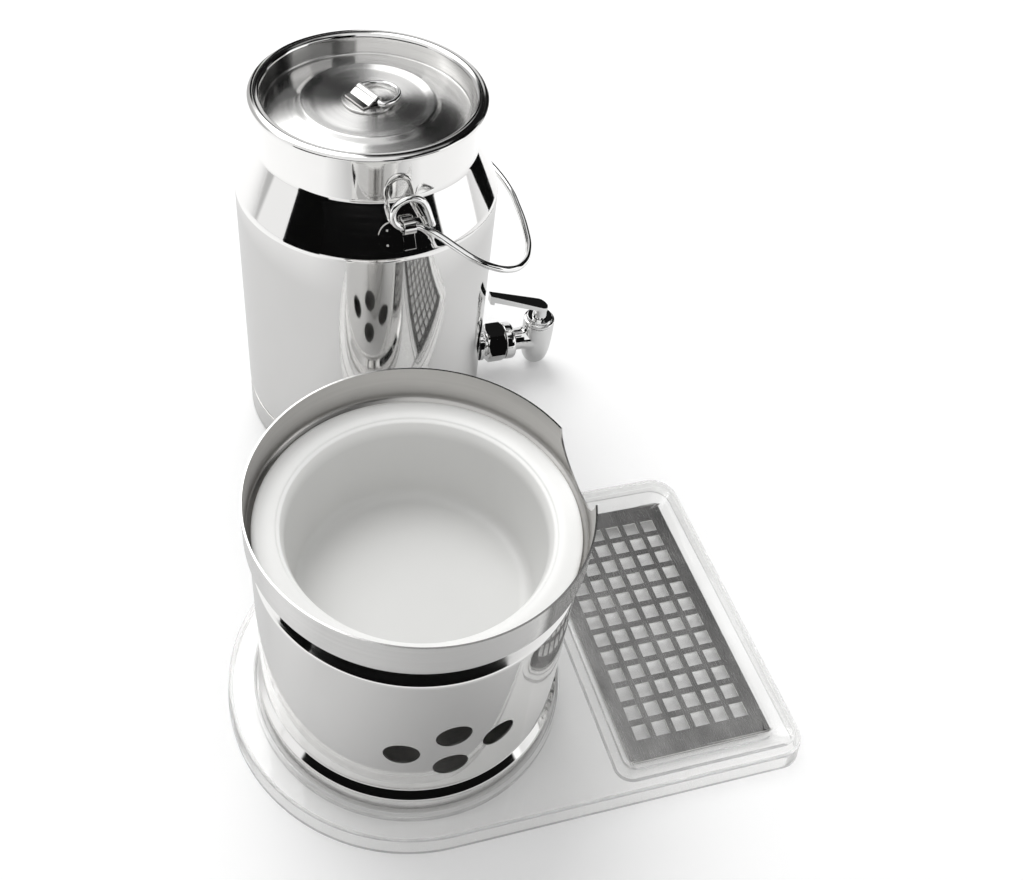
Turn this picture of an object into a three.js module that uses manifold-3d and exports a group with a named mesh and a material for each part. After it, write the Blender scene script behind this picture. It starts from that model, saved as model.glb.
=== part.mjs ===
// A milk dispenser: a churn with a tap, a lift-off lid and a wire bail, beside its drum stand,
// which holds an ice basin on a moulded tray with a drip grille. Millimetres, +Z up.
import * as THREE from "three";
import { mergeVertices } from "three/addons/utils/BufferGeometryUtils.js";
import Module from "manifold-3d";

const wasm = await Module();
wasm.setup();

// Gaps and fineness shared by every piece
const CLEARANCE = 0.3;
const OVERRUN = 3;
const HEX_SIDES = 6;
const LARGE_STEPS = 32;
const SMALL_STEPS = 20;
const BORE_STEPS = 16;
const HUMP_STEPS = 8;
const FILLET_STEPS = 1;
const SETBACK_SHARE = 0.49;
const QUARTER_TURN = Math.PI / 2;

// Moulded tray: a skirted plate with a round seat and a drip pocket
const TRAY_HEIGHT = 14;
const TRAY_WALL = 2.4;
const TRAY_DRAFT = 1.5;
const TRAY_EDGE = 2;
const TRAY_CORNER = 16;
const TRAY_SEAT_MARGIN = 17.8;
const TRAY_SIDE_MARGIN = 14;
const TRAY_END_MARGIN = 5.5;
const TRAY_ARC_STEPS = 20;
const TRAY_CORNER_STEPS = 4;
const SEAT_FLOOR = 8.7;
const SEAT_GAP = 1.2;
const SEAT_EASE = 1.4;
const SEAT_TO_RECESS = 10.3;
const FOOT_RIB_INSET = 7.2;
const FOOT_RIB_WIDTH = 4;
const LEDGE_HEIGHT = 8;
const LEDGE_GAP = 1;
const LEDGE_WIDTH = 5.5;
const POCKET_FLOOR = 3.5;
const RECESS_CORNER = 2.6;
const RECESS_FLARE_X = 10;
const RECESS_FLARE_Y = 5;
const RECESS_HEIGHT_SHARES = [0, 0.27, 0.72, 1];
const RECESS_FLARE_SHARES = [0, 0.07, 0.85, 1];

// Drip grille: square holes in a flat plate
const GRILLE_THICKNESS = 1;
const GRILLE_HOLE = 9;
const GRILLE_PITCH_X = 12.8;
const GRILLE_PITCH_Y = 13;
const GRILLE_COLUMNS = 6;
const GRILLE_ROWS = 12;
const GRILLE_BORDER_X = 9;
const GRILLE_BORDER_Y = 13;
const GRILLE_CORNER = 2;

// Drum stand: one sheet with a groove above its foot, a groove below its collar, a notch for the tap
// and four round vents in front and behind
const STAND_RADIUS = 90;
const STAND_SHEET = 1;
const STAND_WALL_INSET = 2.5;
const FOOT_BAND_HEIGHT = 16.5;
const FOOT_GROOVE_DEPTH = 5;
const FOOT_GROOVE_HEIGHT = 21;
const WALL_START_HEIGHT = 26.5;
const WALL_END_HEIGHT = 135.5;
const COLLAR_GROOVE_DEPTH = 8;
const COLLAR_GROOVE_HEIGHT = 143.5;
const COLLAR_START_HEIGHT = 151;
const STAND_HEIGHT = 173.5;
const STAND_FILLET = 1.2;
const NOTCH_RADIUS = 27.2;
const NOTCH_CENTRE_RISE = 5.3;
const VENT_RADIUS = 9.8;
const VENT_CENTRE_HEIGHT = 66;
const VENT_SPREAD = 27;
const VENT_RISE = 15.4;
const BOTTOM_PLATE_INSET = 5.4;
const BOTTOM_PLATE_SHEET = 1;

// Ice basin: a white bowl whose rim lies on the inside of the collar groove
const BASIN_RIM_INSET = 3.8;
const BASIN_RIM_EDGE = 1.8;
const BASIN_RIM_WIDTH = 10.2;
const BASIN_STEP_WIDTH = 2.5;
const BASIN_STEP_DROP = 0.8;
const BASIN_MOUTH_WIDTH = 2;
const BASIN_MOUTH_DROP = 2.6;
const BASIN_LIP_WIDTH = 2;
const BASIN_LIP_DROP = 8;
const BASIN_TAPER = 3.5;
const BASIN_DEPTH = 60;
const BASIN_FILLET = 6;
const BASIN_WALL = 2;

// Churn: drawn body, foot band, shoulder, neck and turned-out rim
const CHURN_OFFSET = 30;
const CHURN_GAP = 58;
const CHURN_RADIUS = 85;
const CHURN_WALL = 1;
const CHURN_FLOOR_HEIGHT = 5;
const CHURN_FLOOR_FILLET = 7;
const CHURN_STEP_HEIGHT = 21.5;
const CHURN_STEP_RISE = 3;
const SHOULDER_START_HEIGHT = 194.4;
const SHOULDER_RISE = 31.1;
const SHOULDER_RUN = 16;
const SHOULDER_FILLET = 1.5;
const NECK_LENGTH = 28.5;
const CHURN_RIM_FLARE = 3;
const CHURN_RIM_RISE = 3.4;
const FOOT_RING_SHEET = 1;
const FOOT_RING_LIP = 6;

// Lid: a pan that drops into the neck, with a raised boss and a rim that rolls over the churn's
const LID_SHEET = 0.8;
const LID_RIM_OVERHANG = 1.7;
const LID_RIM_ROLL = 0.5;
const LID_RIM_CROWN_WIDTH = 3.2;
const LID_RIM_CROWN_DROP = 0.7;
const LID_RIM_SKIRT = 3.8;
const LID_PAN_PLAY = 2.2;
const LID_PAN_MOUTH_DROP = 1.4;
const LID_PAN_TAPER = 1.8;
const LID_PAN_DEPTH = 13.6;
const LID_PAN_CROWN = 4;
const LID_BOSS_RADIUS = 41.5;
const LID_BOSS_DEPTH = 7.2;
const LID_BOSS_STEP = 3;
const LID_DISC_RADIUS = 35.3;
const LID_DISC_DEPTH = 8.4;
const LID_FILLET = 0.9;

// Lid ring: a wire bow in a folded strap on a round plate
const RING_TURN = 0.428;
const RING_PLATE_RADIUS = 16.3;
const RING_PLATE_SHEET = 1.2;
const RING_WIRE_RADIUS = 1.5;
const RING_HALF_WIDTH = 13.5;
const RING_DEPTH = 19.5;
const RING_OFFSET = -1.5;
const RING_END_GAP = 0.4;
const RING_TILT = 0.056;
const RING_BOW_SHARE = 0.86;
const RING_BOW_STEPS = 12;
const RING_STEPS = 32;
const RING_SIDES = 8;
const RING_STRAP_LENGTH = 18.5;
const RING_STRAP_FLAP = 11;
const RING_STRAP_RAMP = 6.5;
const RING_STRAP_SHEET = 1.1;
const RING_STRAP_PLAY = 0.5;
const RING_STRAP_LIFT = 0.8;

// Bail ears: a plate with round ends on the shoulder and a strap that humps over the wire
const EAR_TURN = 0.084;
const EAR_PLATE_SHEET = 1.2;
const EAR_PLATE_CENTRE = 14;
const EAR_PLATE_HALF_WIDTH = 18;
const EAR_PLATE_HALF_HEIGHT = 9.5;
const EAR_EYE_RISE = 20;
const EAR_EYE_LIFT = 3;
const EAR_STRAP_WIDTH = 7.6;
const EAR_STRAP_SHEET = 1.3;
const EAR_STRAP_PLAY = 1;
const EAR_STRAP_LOWER_TAB = 14.5;
const EAR_STRAP_UPPER_TAB = 6;

// Bail: one wire whose ends curl through the ears, with a wide bow between them
const BAIL_WIRE_RADIUS = 2.2;
const BAIL_CURL_RADIUS = 10.3;
const BAIL_CURL_END = 0.6;
const BAIL_SAG = 0.4;
const BAIL_DROOP = 0.436;
const BAIL_STRAIGHT = 4.2;
const BAIL_TIP_OUT = 15;
const BAIL_TIP_DROP = 12;
const BAIL_BOW_CLEAR = 23.8;
const BAIL_BOW_SPREAD = 27.68;
const BAIL_REACH_SHARES = [0.075, 0.155, 0.236, 0.323, 0.423, 0.545, 0.677, 0.809, 0.895, 0.96];
const BAIL_SPREAD_SHARES = [0.03, 0.21, 0.536, 0.845, 1];
const BAIL_CLOSE_SHARES = [0.991, 0.908, 0.734, 0.523, 0.275];
const BAIL_ARC_STEPS = 16;
const BAIL_STEPS = 98;
const BAIL_SIDES = 8;

// Tap, along the churn's +X: shank, seals and nuts
const TAP_HEIGHT = 27.6;
const TAP_SHANK_RADIUS = 5.8;
const TAP_BORE_RADIUS = 4;
const TAP_SEAL_THICKNESS = 2.3;
const TAP_INNER_SEAL_RADIUS = 7.4;
const TAP_BACK_NUT_RADIUS = 10.4;
const TAP_BACK_NUT_LENGTH = 5.2;
const TAP_SHANK_END = 1.5;
const TAP_OUTER_SEAL_RADIUS = 12.2;
const TAP_OUTER_SEAL_THICKNESS = 2.9;
const TAP_FLANGE_RADIUS = 12.4;
const TAP_FLANGE_THICKNESS = 2.5;
const TAP_THREAD_RADIUS = 9.4;
const TAP_THREAD_LENGTH = 13.2;
const TAP_THREAD_DEPTH = 0.6;
const TAP_THREAD_TURNS = 2;
const UNION_NUT_RADIUS = 15.4;
const UNION_NUT_START = 3.6;
const UNION_NUT_LENGTH = 14;
const UNION_NUT_CHAMFER = 1.8;
const LOCK_RING_RADIUS = 14.2;
const LOCK_RING_LENGTH = 7.5;
const LOCK_RING_ROUNDING = 2.6;

// Tap body: a tail, a neck and an upright tapering barrel
const TAP_REACH = 52;
const TAIL_RADIUS = 8.4;
const TAIL_FLANGE_LENGTH = 2.5;
const NECK_FLARE_BELOW_TOP = 5.8;
const NECK_FLARE_LENGTH = 9;
const BARREL_TOP = 16;
const BARREL_RADIUS = 11.8;
const BARREL_BOTTOM = 22.2;
const BARREL_DROP_SHARES = [1, 0.93, 0.82, 0.64, 0.3, 0];
const BARREL_RADIUS_SHARES = [0.5, 0.68, 0.8, 0.89, 0.96, 0.98];
const SPOUT_BORE_RADIUS = 4.6;
const CAVITY_RADIUS = 6.6;
const CAVITY_DEPTH = 8;

// Tap handle: plug and stem in the barrel, bonnet, seal and lever
const PLUG_GAP = 0.4;
const PLUG_TOP = 12.8;
const PLUG_BORE_RADIUS = 3.6;
const PLUG_BORE_TOP = 4;
const STEM_RADIUS = 3.4;
const STEM_TOP = 29.4;
const STEM_SEAL_TOP = 16;
const BONNET_RADIUS = 11.8;
const BONNET_FLANGE_HEIGHT = 2.6;
const BONNET_HEIGHT = 5.2;
const BONNET_TOP_RADIUS = 9.8;
const BONNET_CHAMFER = 0.6;
const LEVER_LENGTH = 42.5;
const LEVER_TOP = 33.4;
const LEVER_RISE = 17;
const LEVER_THICKNESS = 3.6;
const LEVER_SWELL = 2;
const LEVER_END_RADIUS = 5;
const LEVER_TIP_HALF_WIDTH = 2.4;
const LEVER_TIP_CORNER = 1;
const LEVER_LIP_DROP = 2.4;
const LEVER_LIP_WIDTH = 3.4;
const LEVER_HUB_RADIUS = 5.6;
const LEVER_HUB_TOP_RADIUS = 4.9;

// Sizes that follow from the ones above
const SEAT_RADIUS = STAND_RADIUS + SEAT_GAP;
const GRILLE_HALF_X = ((GRILLE_COLUMNS - 1) * GRILLE_PITCH_X + GRILLE_HOLE) / 2 + GRILLE_BORDER_X;
const GRILLE_HALF_Y = ((GRILLE_ROWS - 1) * GRILLE_PITCH_Y + GRILLE_HOLE) / 2 + GRILLE_BORDER_Y;
const LEDGE_HALF_X = GRILLE_HALF_X + LEDGE_GAP;
const LEDGE_HALF_Y = GRILLE_HALF_Y + LEDGE_GAP;
const RECESS_HALF_X = LEDGE_HALF_X + RECESS_FLARE_X;
const RECESS_HALF_Y = LEDGE_HALF_Y + RECESS_FLARE_Y;
const POCKET_HALF_X = LEDGE_HALF_X - LEDGE_WIDTH;
const POCKET_HALF_Y = LEDGE_HALF_Y - LEDGE_WIDTH;
const GRILLE_CENTRE = SEAT_RADIUS + SEAT_TO_RECESS + RECESS_HALF_X;
const TRAY_HALF_DEPTH = Math.max(SEAT_RADIUS + TRAY_SEAT_MARGIN, RECESS_HALF_Y + TRAY_SIDE_MARGIN);
const TRAY_END = GRILLE_CENTRE + RECESS_HALF_X + TRAY_END_MARGIN;
const STAND_BASE = SEAT_FLOOR + CLEARANCE;
const STAND_WALL_RADIUS = STAND_RADIUS - STAND_WALL_INSET;
const FOOT_GROOVE_RADIUS = STAND_RADIUS - FOOT_GROOVE_DEPTH;
const COLLAR_GROOVE_RADIUS = STAND_RADIUS - COLLAR_GROOVE_DEPTH;
const BOTTOM_PLATE_RADIUS = STAND_RADIUS - BOTTOM_PLATE_INSET;
const BASIN_RIM_RADIUS = STAND_RADIUS - BASIN_RIM_INSET;
const BASIN_RIM_CROWN_RADIUS = BASIN_RIM_RADIUS - BASIN_RIM_WIDTH;
const BASIN_STEP_RADIUS = BASIN_RIM_CROWN_RADIUS - BASIN_STEP_WIDTH;
const BASIN_MOUTH_RADIUS = BASIN_STEP_RADIUS - BASIN_MOUTH_WIDTH;
const BASIN_LIP_RADIUS = BASIN_MOUTH_RADIUS - BASIN_LIP_WIDTH;
const BASIN_FLOOR_RADIUS = BASIN_LIP_RADIUS - BASIN_TAPER;
const CHURN_DISTANCE = TRAY_HALF_DEPTH + CHURN_GAP + CHURN_RADIUS;
const CHURN_FOOT_RADIUS = CHURN_RADIUS - FOOT_RING_SHEET - CLEARANCE;
const SHOULDER_END_HEIGHT = SHOULDER_START_HEIGHT + SHOULDER_RISE;
const SHOULDER_ANGLE = Math.atan2(SHOULDER_RISE, SHOULDER_RUN);
const NECK_RADIUS = CHURN_RADIUS - SHOULDER_RUN;
const NECK_HEIGHT = SHOULDER_END_HEIGHT + NECK_LENGTH;
const CHURN_RIM_RADIUS = NECK_RADIUS + CHURN_RIM_FLARE;
const CHURN_RIM_HEIGHT = NECK_HEIGHT + CHURN_RIM_RISE;
const LID_RIM_RADIUS = CHURN_RIM_RADIUS + LID_RIM_OVERHANG;
const LID_RIM_CROWN_RADIUS = LID_RIM_RADIUS - LID_RIM_ROLL - LID_RIM_CROWN_WIDTH;
const LID_PAN_MOUTH_RADIUS = NECK_RADIUS - LID_PAN_PLAY;
const LID_PAN_RADIUS = LID_PAN_MOUTH_RADIUS - LID_PAN_TAPER;
const BAIL_BOW_REACH = CHURN_RADIUS + BAIL_BOW_CLEAR;
const TAP_OUTER_SEAL_END = CLEARANCE + TAP_OUTER_SEAL_THICKNESS;
const TAP_FLANGE_START = TAP_OUTER_SEAL_END + CLEARANCE;
const TAP_THREAD_START = TAP_FLANGE_START + TAP_FLANGE_THICKNESS;
const TAP_THREAD_END = TAP_THREAD_START + TAP_THREAD_LENGTH;
const TAIL_START = TAP_THREAD_END + CLEARANCE;
const TAIL_FLANGE_END = TAIL_START + TAIL_FLANGE_LENGTH;
const UNION_NUT_BASE = TAP_THREAD_START + UNION_NUT_START;
const UNION_NUT_END = UNION_NUT_BASE + UNION_NUT_LENGTH;
const NECK_FLARE_RADIUS = BARREL_TOP - NECK_FLARE_BELOW_TOP;
const PLUG_RADIUS = CAVITY_RADIUS - PLUG_GAP;

// Materials
function coat(color, roughness, metalness, opacity = 1) {
  return new THREE.MeshStandardMaterial({
    color,
    roughness,
    metalness,
    opacity,
    transparent: opacity < 1,
    side: THREE.FrontSide,
  });
}
const polishedSteel = () => coat(0xd9dadc, 0.08, 1);
const brushedSteel = () => coat(0xb6b8ba, 0.34, 1);
const chrome = () => coat(0xe6e7e9, 0.05, 1);
const clearPlastic = () => coat(0xdfe3e4, 0.12, 0, 0.45);
const whitePlastic = () => coat(0xf4f4f2, 0.42, 0);
const rubber = () => coat(0x26272a, 0.8, 0);

// A closed body of three.js triangles as a solid that can be joined and cut
function solidOf(geometry) {
  const loose = geometry.index ? geometry.toNonIndexed() : geometry;
  const bare = new THREE.BufferGeometry();
  bare.setAttribute("position", loose.getAttribute("position"));
  const merged = mergeVertices(bare);
  const position = merged.getAttribute("position");
  const vertex = (i) => new THREE.Vector3().fromBufferAttribute(position, i);
  const faces = [];
  let volume = 0;
  for (let i = 0; i < merged.index.count; i += 3) {
    const face = [0, 1, 2].map((corner) => merged.index.getX(i + corner));
    if (new Set(face).size === 3) {
      faces.push(face);
      volume += vertex(face[0]).dot(vertex(face[1]).cross(vertex(face[2])));
    }
  }
  if (volume < 0) faces.forEach((face) => face.reverse());
  return new wasm.Manifold(
    new wasm.Mesh({
      numProp: 3,
      vertProperties: new Float32Array(position.array),
      triVerts: new Uint32Array(faces.flat()),
    }),
  );
}

// A named mesh from a solid
function meshOf(name, solid, material) {
  const { vertProperties, triVerts } = solid.getMesh();
  const geometry = new THREE.BufferGeometry();
  geometry.setAttribute("position", new THREE.BufferAttribute(vertProperties, 3));
  geometry.setIndex(new THREE.BufferAttribute(triVerts, 1));
  geometry.computeVertexNormals();
  const mesh = new THREE.Mesh(geometry, material);
  mesh.name = name;
  return mesh;
}

// Points from pairs of numbers
function outlineOf(pairs) {
  return pairs.map(([x, y]) => new THREE.Vector2(x, y));
}

// Points along an arc, ends included
function arcPoints(centreX, centreY, radius, from, to, steps) {
  return Array.from({ length: steps + 1 }, (_, i) => {
    const angle = from + ((to - from) * i) / steps;
    return new THREE.Vector2(centreX + radius * Math.cos(angle), centreY + radius * Math.sin(angle));
  });
}

// A path through corners [x, y, setback], each corner eased over its setback
function roundedPath(corners) {
  const points = outlineOf(corners);
  return corners.flatMap(([, , setback = 0], i) => {
    const here = points[i];
    if (!setback || i === 0 || i === corners.length - 1) return [here];
    const before = points[i - 1];
    const after = points[i + 1];
    const back = Math.min(setback / here.distanceTo(before), SETBACK_SHARE);
    const ahead = Math.min(setback / here.distanceTo(after), SETBACK_SHARE);
    const start = here.clone().lerp(before, back);
    const end = here.clone().lerp(after, ahead);
    return new THREE.QuadraticBezierCurve(start, here, end).getPoints(FILLET_STEPS);
  });
}

// The closed outline between a path and its offset: to its left, or to its right where negative
function thicken(path, thickness) {
  const leftOf = (from, to) => {
    const along = to.clone().sub(from).normalize();
    return new THREE.Vector2(-along.y, along.x);
  };
  const offset = path.map((point, i) => {
    const into = i > 0 ? leftOf(path[i - 1], point) : leftOf(point, path[i + 1]);
    const out = i < path.length - 1 ? leftOf(point, path[i + 1]) : into;
    const mitre = into.clone().add(out).divideScalar(1 + into.dot(out));
    return point.clone().addScaledVector(mitre, thickness);
  });
  return [...path, ...offset.reverse()];
}

// An outline of radius and height turned about Z; it meets the axis at both ends or is closed here
function revolve(outline, steps) {
  const meetsAxis = outline[0].x === 0 && outline.at(-1).x === 0;
  const points = meetsAxis ? outline : [...outline, outline[0]];
  return new THREE.LatheGeometry(points, steps).rotateX(QUARTER_TURN);
}

// An upright cylinder between two heights
function cylinder(radius, from, to, steps) {
  return revolve(outlineOf([[0, from], [radius, from], [radius, to], [0, to]]), steps);
}

// A ring of rectangular section about Z
function ring(inner, outer, from, to, steps) {
  return revolve(outlineOf([[inner, from], [outer, from], [outer, to], [inner, to]]), steps);
}

// The same bodies laid down, so that their heights run along +X
const lying = (geometry) => geometry.rotateY(QUARTER_TURN);

// An outline in the XY plane drawn up between two heights
function prism(outline, from, to) {
  const depth = to - from;
  const geometry = new THREE.ExtrudeGeometry(new THREE.Shape(outline), { depth, bevelEnabled: false });
  return geometry.translate(0, 0, from);
}

// A side outline of x and z drawn out to half a width on both sides of the XZ plane
function sidePrism(outline, width) {
  return prism(outline, -width / 2, width / 2).rotateX(QUARTER_TURN);
}

// A closed body through convex outlines of equal point count at rising heights
function loft(levels) {
  const count = levels[0].outline.length;
  const positions = levels.flatMap(({ outline, z }) => outline.flatMap((point) => [point.x, point.y, z]));
  const index = [];
  for (let i = 0; i < count; i += 1) {
    const next = (i + 1) % count;
    for (let level = 0; level + 1 < levels.length; level += 1) {
      const base = level * count;
      index.push(base + i, base + next, base + count + next);
      index.push(base + i, base + count + next, base + count + i);
    }
  }
  [0, levels.length - 1].forEach((level) => {
    const { outline, z } = levels[level];
    const middle = outline.reduce((sum, point) => sum.add(point), new THREE.Vector2());
    middle.divideScalar(count);
    const centre = positions.length / 3;
    positions.push(middle.x, middle.y, z);
    for (let i = 0; i < count; i += 1) {
      const edge = [level * count + i, level * count + ((i + 1) % count)];
      if (level === 0) edge.reverse();
      index.push(...edge, centre);
    }
  });
  const geometry = new THREE.BufferGeometry();
  geometry.setAttribute("position", new THREE.Float32BufferAttribute(positions, 3));
  geometry.setIndex(index);
  return geometry;
}

// A round wire along points, with flat ends
function wire(points, radius, steps, sides) {
  const section = new THREE.Shape(arcPoints(0, 0, radius, 0, Math.PI * 2, sides).slice(1));
  const extrudePath = new THREE.CatmullRomCurve3(points, false, "centripetal");
  return new THREE.ExtrudeGeometry(section, { steps, bevelEnabled: false, extrudePath });
}

// A rectangle with round corners about the origin
function roundedRectangle(halfX, halfY, corner) {
  const quarters = [[1, 1], [-1, 1], [-1, -1], [1, -1]];
  return quarters.flatMap(([sideX, sideY], i) =>
    arcPoints(
      sideX * (halfX - corner),
      sideY * (halfY - corner),
      corner,
      i * QUARTER_TURN,
      (i + 1) * QUARTER_TURN,
      TRAY_CORNER_STEPS,
    ),
  );
}

// Height on the line from a lower to an upper point, moved to its left by a gap, at a radius
function slopeHeight(lower, upper, gap, radius) {
  const [run, rise] = [upper[0] - lower[0], upper[1] - lower[1]];
  const length = Math.hypot(run, rise);
  const start = [lower[0] - (gap * rise) / length, lower[1] + (gap * run) / length];
  return start[1] + ((radius - start[0]) * rise) / run;
}

// The tray's plan: half a circle round the seat, then straight sides to two round corners
function trayOutline(inset) {
  const half = TRAY_HALF_DEPTH - inset;
  const end = TRAY_END - inset;
  const corner = TRAY_CORNER - inset;
  return [
    ...arcPoints(0, 0, half, QUARTER_TURN, 3 * QUARTER_TURN, TRAY_ARC_STEPS),
    ...arcPoints(end - corner, corner - half, corner, -QUARTER_TURN, 0, TRAY_CORNER_STEPS),
    ...arcPoints(end - corner, half - corner, corner, 0, QUARTER_TURN, TRAY_CORNER_STEPS),
  ];
}

// The tray's outer skin, or its hollow where a wall is taken off
function traySkin(wall) {
  const edgeStart = TRAY_HEIGHT - TRAY_EDGE;
  const draft = (height) => (TRAY_DRAFT * height) / TRAY_HEIGHT;
  if (wall) {
    return loft([
      { outline: trayOutline(wall), z: -OVERRUN },
      { outline: trayOutline(wall + draft(edgeStart)), z: TRAY_HEIGHT - wall },
    ]);
  }
  const edge = [0, 1, 2].map((i) => {
    const angle = (QUARTER_TURN * i) / 2;
    return {
      outline: trayOutline(draft(edgeStart) + TRAY_EDGE * (1 - Math.cos(angle))),
      z: edgeStart + TRAY_EDGE * Math.sin(angle),
    };
  });
  return loft([{ outline: trayOutline(0), z: 0 }, ...edge]);
}

// The grille's recess at a share of its height, wider by a wall where one is given
function recessLevel(i, wall) {
  const flare = RECESS_FLARE_SHARES[i];
  const height = TRAY_HEIGHT - LEDGE_HEIGHT;
  return {
    outline: roundedRectangle(
      LEDGE_HALF_X + flare * RECESS_FLARE_X + wall,
      LEDGE_HALF_Y + flare * RECESS_FLARE_Y + wall,
      RECESS_CORNER + flare * RECESS_FLARE_Y + wall,
    ),
    z: LEDGE_HEIGHT + RECESS_HEIGHT_SHARES[i] * height - wall,
  };
}

function baseTray() {
  const deckInside = TRAY_HEIGHT - TRAY_WALL / 2;
  const seatCup = cylinder(SEAT_RADIUS + TRAY_WALL, SEAT_FLOOR - TRAY_WALL, deckInside, LARGE_STEPS);
  const ribOuter = SEAT_RADIUS - FOOT_RIB_INSET;
  const rib = ring(ribOuter - FOOT_RIB_WIDTH, ribOuter, 0, SEAT_FLOOR - TRAY_WALL / 2, LARGE_STEPS);
  const seat = revolve(
    outlineOf([
      [0, SEAT_FLOOR],
      [SEAT_RADIUS, SEAT_FLOOR],
      [SEAT_RADIUS, TRAY_HEIGHT - SEAT_EASE],
      [SEAT_RADIUS + SEAT_EASE, TRAY_HEIGHT],
      [SEAT_RADIUS + SEAT_EASE, TRAY_HEIGHT + OVERRUN],
      [0, TRAY_HEIGHT + OVERRUN],
    ]),
    LARGE_STEPS,
  );
  const levels = [0, 1, 2, 3];
  const cup = levels.map((i) => recessLevel(i, TRAY_WALL));
  const recess = levels.map((i) => recessLevel(i, 0));
  recess.push({ outline: recess[3].outline, z: TRAY_HEIGHT + OVERRUN });
  const pocketOutline = (wall) =>
    roundedRectangle(POCKET_HALF_X + wall, POCKET_HALF_Y + wall, RECESS_CORNER + wall);
  const pocketCup = prism(pocketOutline(TRAY_WALL), POCKET_FLOOR - TRAY_WALL, LEDGE_HEIGHT);
  const pocket = prism(pocketOutline(0), POCKET_FLOOR, LEDGE_HEIGHT + OVERRUN);
  const atGrille = (geometry) => solidOf(geometry.translate(GRILLE_CENTRE, 0, 0));
  const tray = solidOf(traySkin(0))
    .subtract(solidOf(traySkin(TRAY_WALL)))
    .add(solidOf(seatCup))
    .add(solidOf(rib))
    .add(atGrille(loft(cup)))
    .add(atGrille(pocketCup))
    .subtract(solidOf(seat))
    .subtract(atGrille(loft(recess)))
    .subtract(atGrille(pocket));
  return meshOf("base_tray", tray, clearPlastic());
}

function dripGrille() {
  const outline = roundedRectangle(GRILLE_HALF_X, GRILLE_HALF_Y, GRILLE_CORNER);
  let plate = solidOf(prism(outline, 0, GRILLE_THICKNESS));
  for (let column = 0; column < GRILLE_COLUMNS; column += 1) {
    for (let row = 0; row < GRILLE_ROWS; row += 1) {
      const hole = new THREE.BoxGeometry(GRILLE_HOLE, GRILLE_HOLE, OVERRUN * 2);
      const x = (column - (GRILLE_COLUMNS - 1) / 2) * GRILLE_PITCH_X;
      const y = (row - (GRILLE_ROWS - 1) / 2) * GRILLE_PITCH_Y;
      plate = plate.subtract(solidOf(hole.translate(x, y, 0)));
    }
  }
  const mesh = meshOf("drip_grille", plate, brushedSteel());
  mesh.position.set(GRILLE_CENTRE, 0, LEDGE_HEIGHT + CLEARANCE);
  return mesh;
}

// The drum's outside, from its foot up
const standPath = [
  [STAND_RADIUS, 0],
  [STAND_RADIUS, FOOT_BAND_HEIGHT, STAND_FILLET],
  [FOOT_GROOVE_RADIUS, FOOT_GROOVE_HEIGHT, STAND_FILLET],
  [STAND_WALL_RADIUS, WALL_START_HEIGHT, STAND_FILLET],
  [STAND_WALL_RADIUS, WALL_END_HEIGHT, STAND_FILLET],
  [COLLAR_GROOVE_RADIUS, COLLAR_GROOVE_HEIGHT, STAND_FILLET],
  [STAND_RADIUS, COLLAR_START_HEIGHT, STAND_FILLET],
  [STAND_RADIUS, STAND_HEIGHT],
];

function standDrum() {
  const sheet = solidOf(revolve(thicken(roundedPath(standPath), STAND_SHEET), LARGE_STEPS));
  const throughWall = [STAND_RADIUS / 2, STAND_RADIUS + OVERRUN];
  const notch = lying(cylinder(NOTCH_RADIUS, ...throughWall, LARGE_STEPS));
  notch.translate(0, 0, STAND_HEIGHT + NOTCH_CENTRE_RISE);
  const vents = [-QUARTER_TURN, QUARTER_TURN].flatMap((facing) =>
    [[-1, 0], [1, 0], [0, 1], [0, -1]].map(([side, rise]) => {
      const vent = lying(cylinder(VENT_RADIUS, ...throughWall, BORE_STEPS));
      vent.rotateZ(facing + (side * VENT_SPREAD) / STAND_WALL_RADIUS);
      return vent.translate(0, 0, VENT_CENTRE_HEIGHT + rise * VENT_RISE);
    }),
  );
  const drum = [notch, ...vents].reduce((solid, cut) => solid.subtract(solidOf(cut)), sheet);
  return meshOf("stand_drum", drum, polishedSteel());
}

function standBottomPlate() {
  const gap = STAND_SHEET + CLEARANCE;
  const base = slopeHeight(standPath[2], standPath[3], gap, BOTTOM_PLATE_RADIUS);
  const plate = cylinder(BOTTOM_PLATE_RADIUS, base, base + BOTTOM_PLATE_SHEET, LARGE_STEPS);
  return meshOf("stand_bottom_plate", solidOf(plate), brushedSteel());
}

function iceBasin() {
  const path = roundedPath([
    [BASIN_RIM_RADIUS, -BASIN_RIM_EDGE],
    [BASIN_RIM_RADIUS - BASIN_RIM_EDGE, 0],
    [BASIN_RIM_CROWN_RADIUS, 0],
    [BASIN_STEP_RADIUS, -BASIN_STEP_DROP],
    [BASIN_STEP_RADIUS, -BASIN_STEP_DROP * 2],
    [BASIN_MOUTH_RADIUS, -BASIN_MOUTH_DROP],
    [BASIN_LIP_RADIUS, -BASIN_LIP_DROP],
    [BASIN_FLOOR_RADIUS, -BASIN_DEPTH, BASIN_FILLET],
    [0, -BASIN_DEPTH],
  ]);
  const section = thicken(path, BASIN_WALL);
  const gap = STAND_SHEET + CLEARANCE;
  const seatAt = (point) => slopeHeight(standPath[5], standPath[6], gap, point.x) - point.y;
  const rimPoints = section.filter((point) => point.x > BASIN_RIM_CROWN_RADIUS + BASIN_WALL);
  const mesh = meshOf("ice_basin", solidOf(revolve(section, LARGE_STEPS)), whitePlastic());
  mesh.position.z = Math.max(...rimPoints.map(seatAt));
  return mesh;
}

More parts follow.
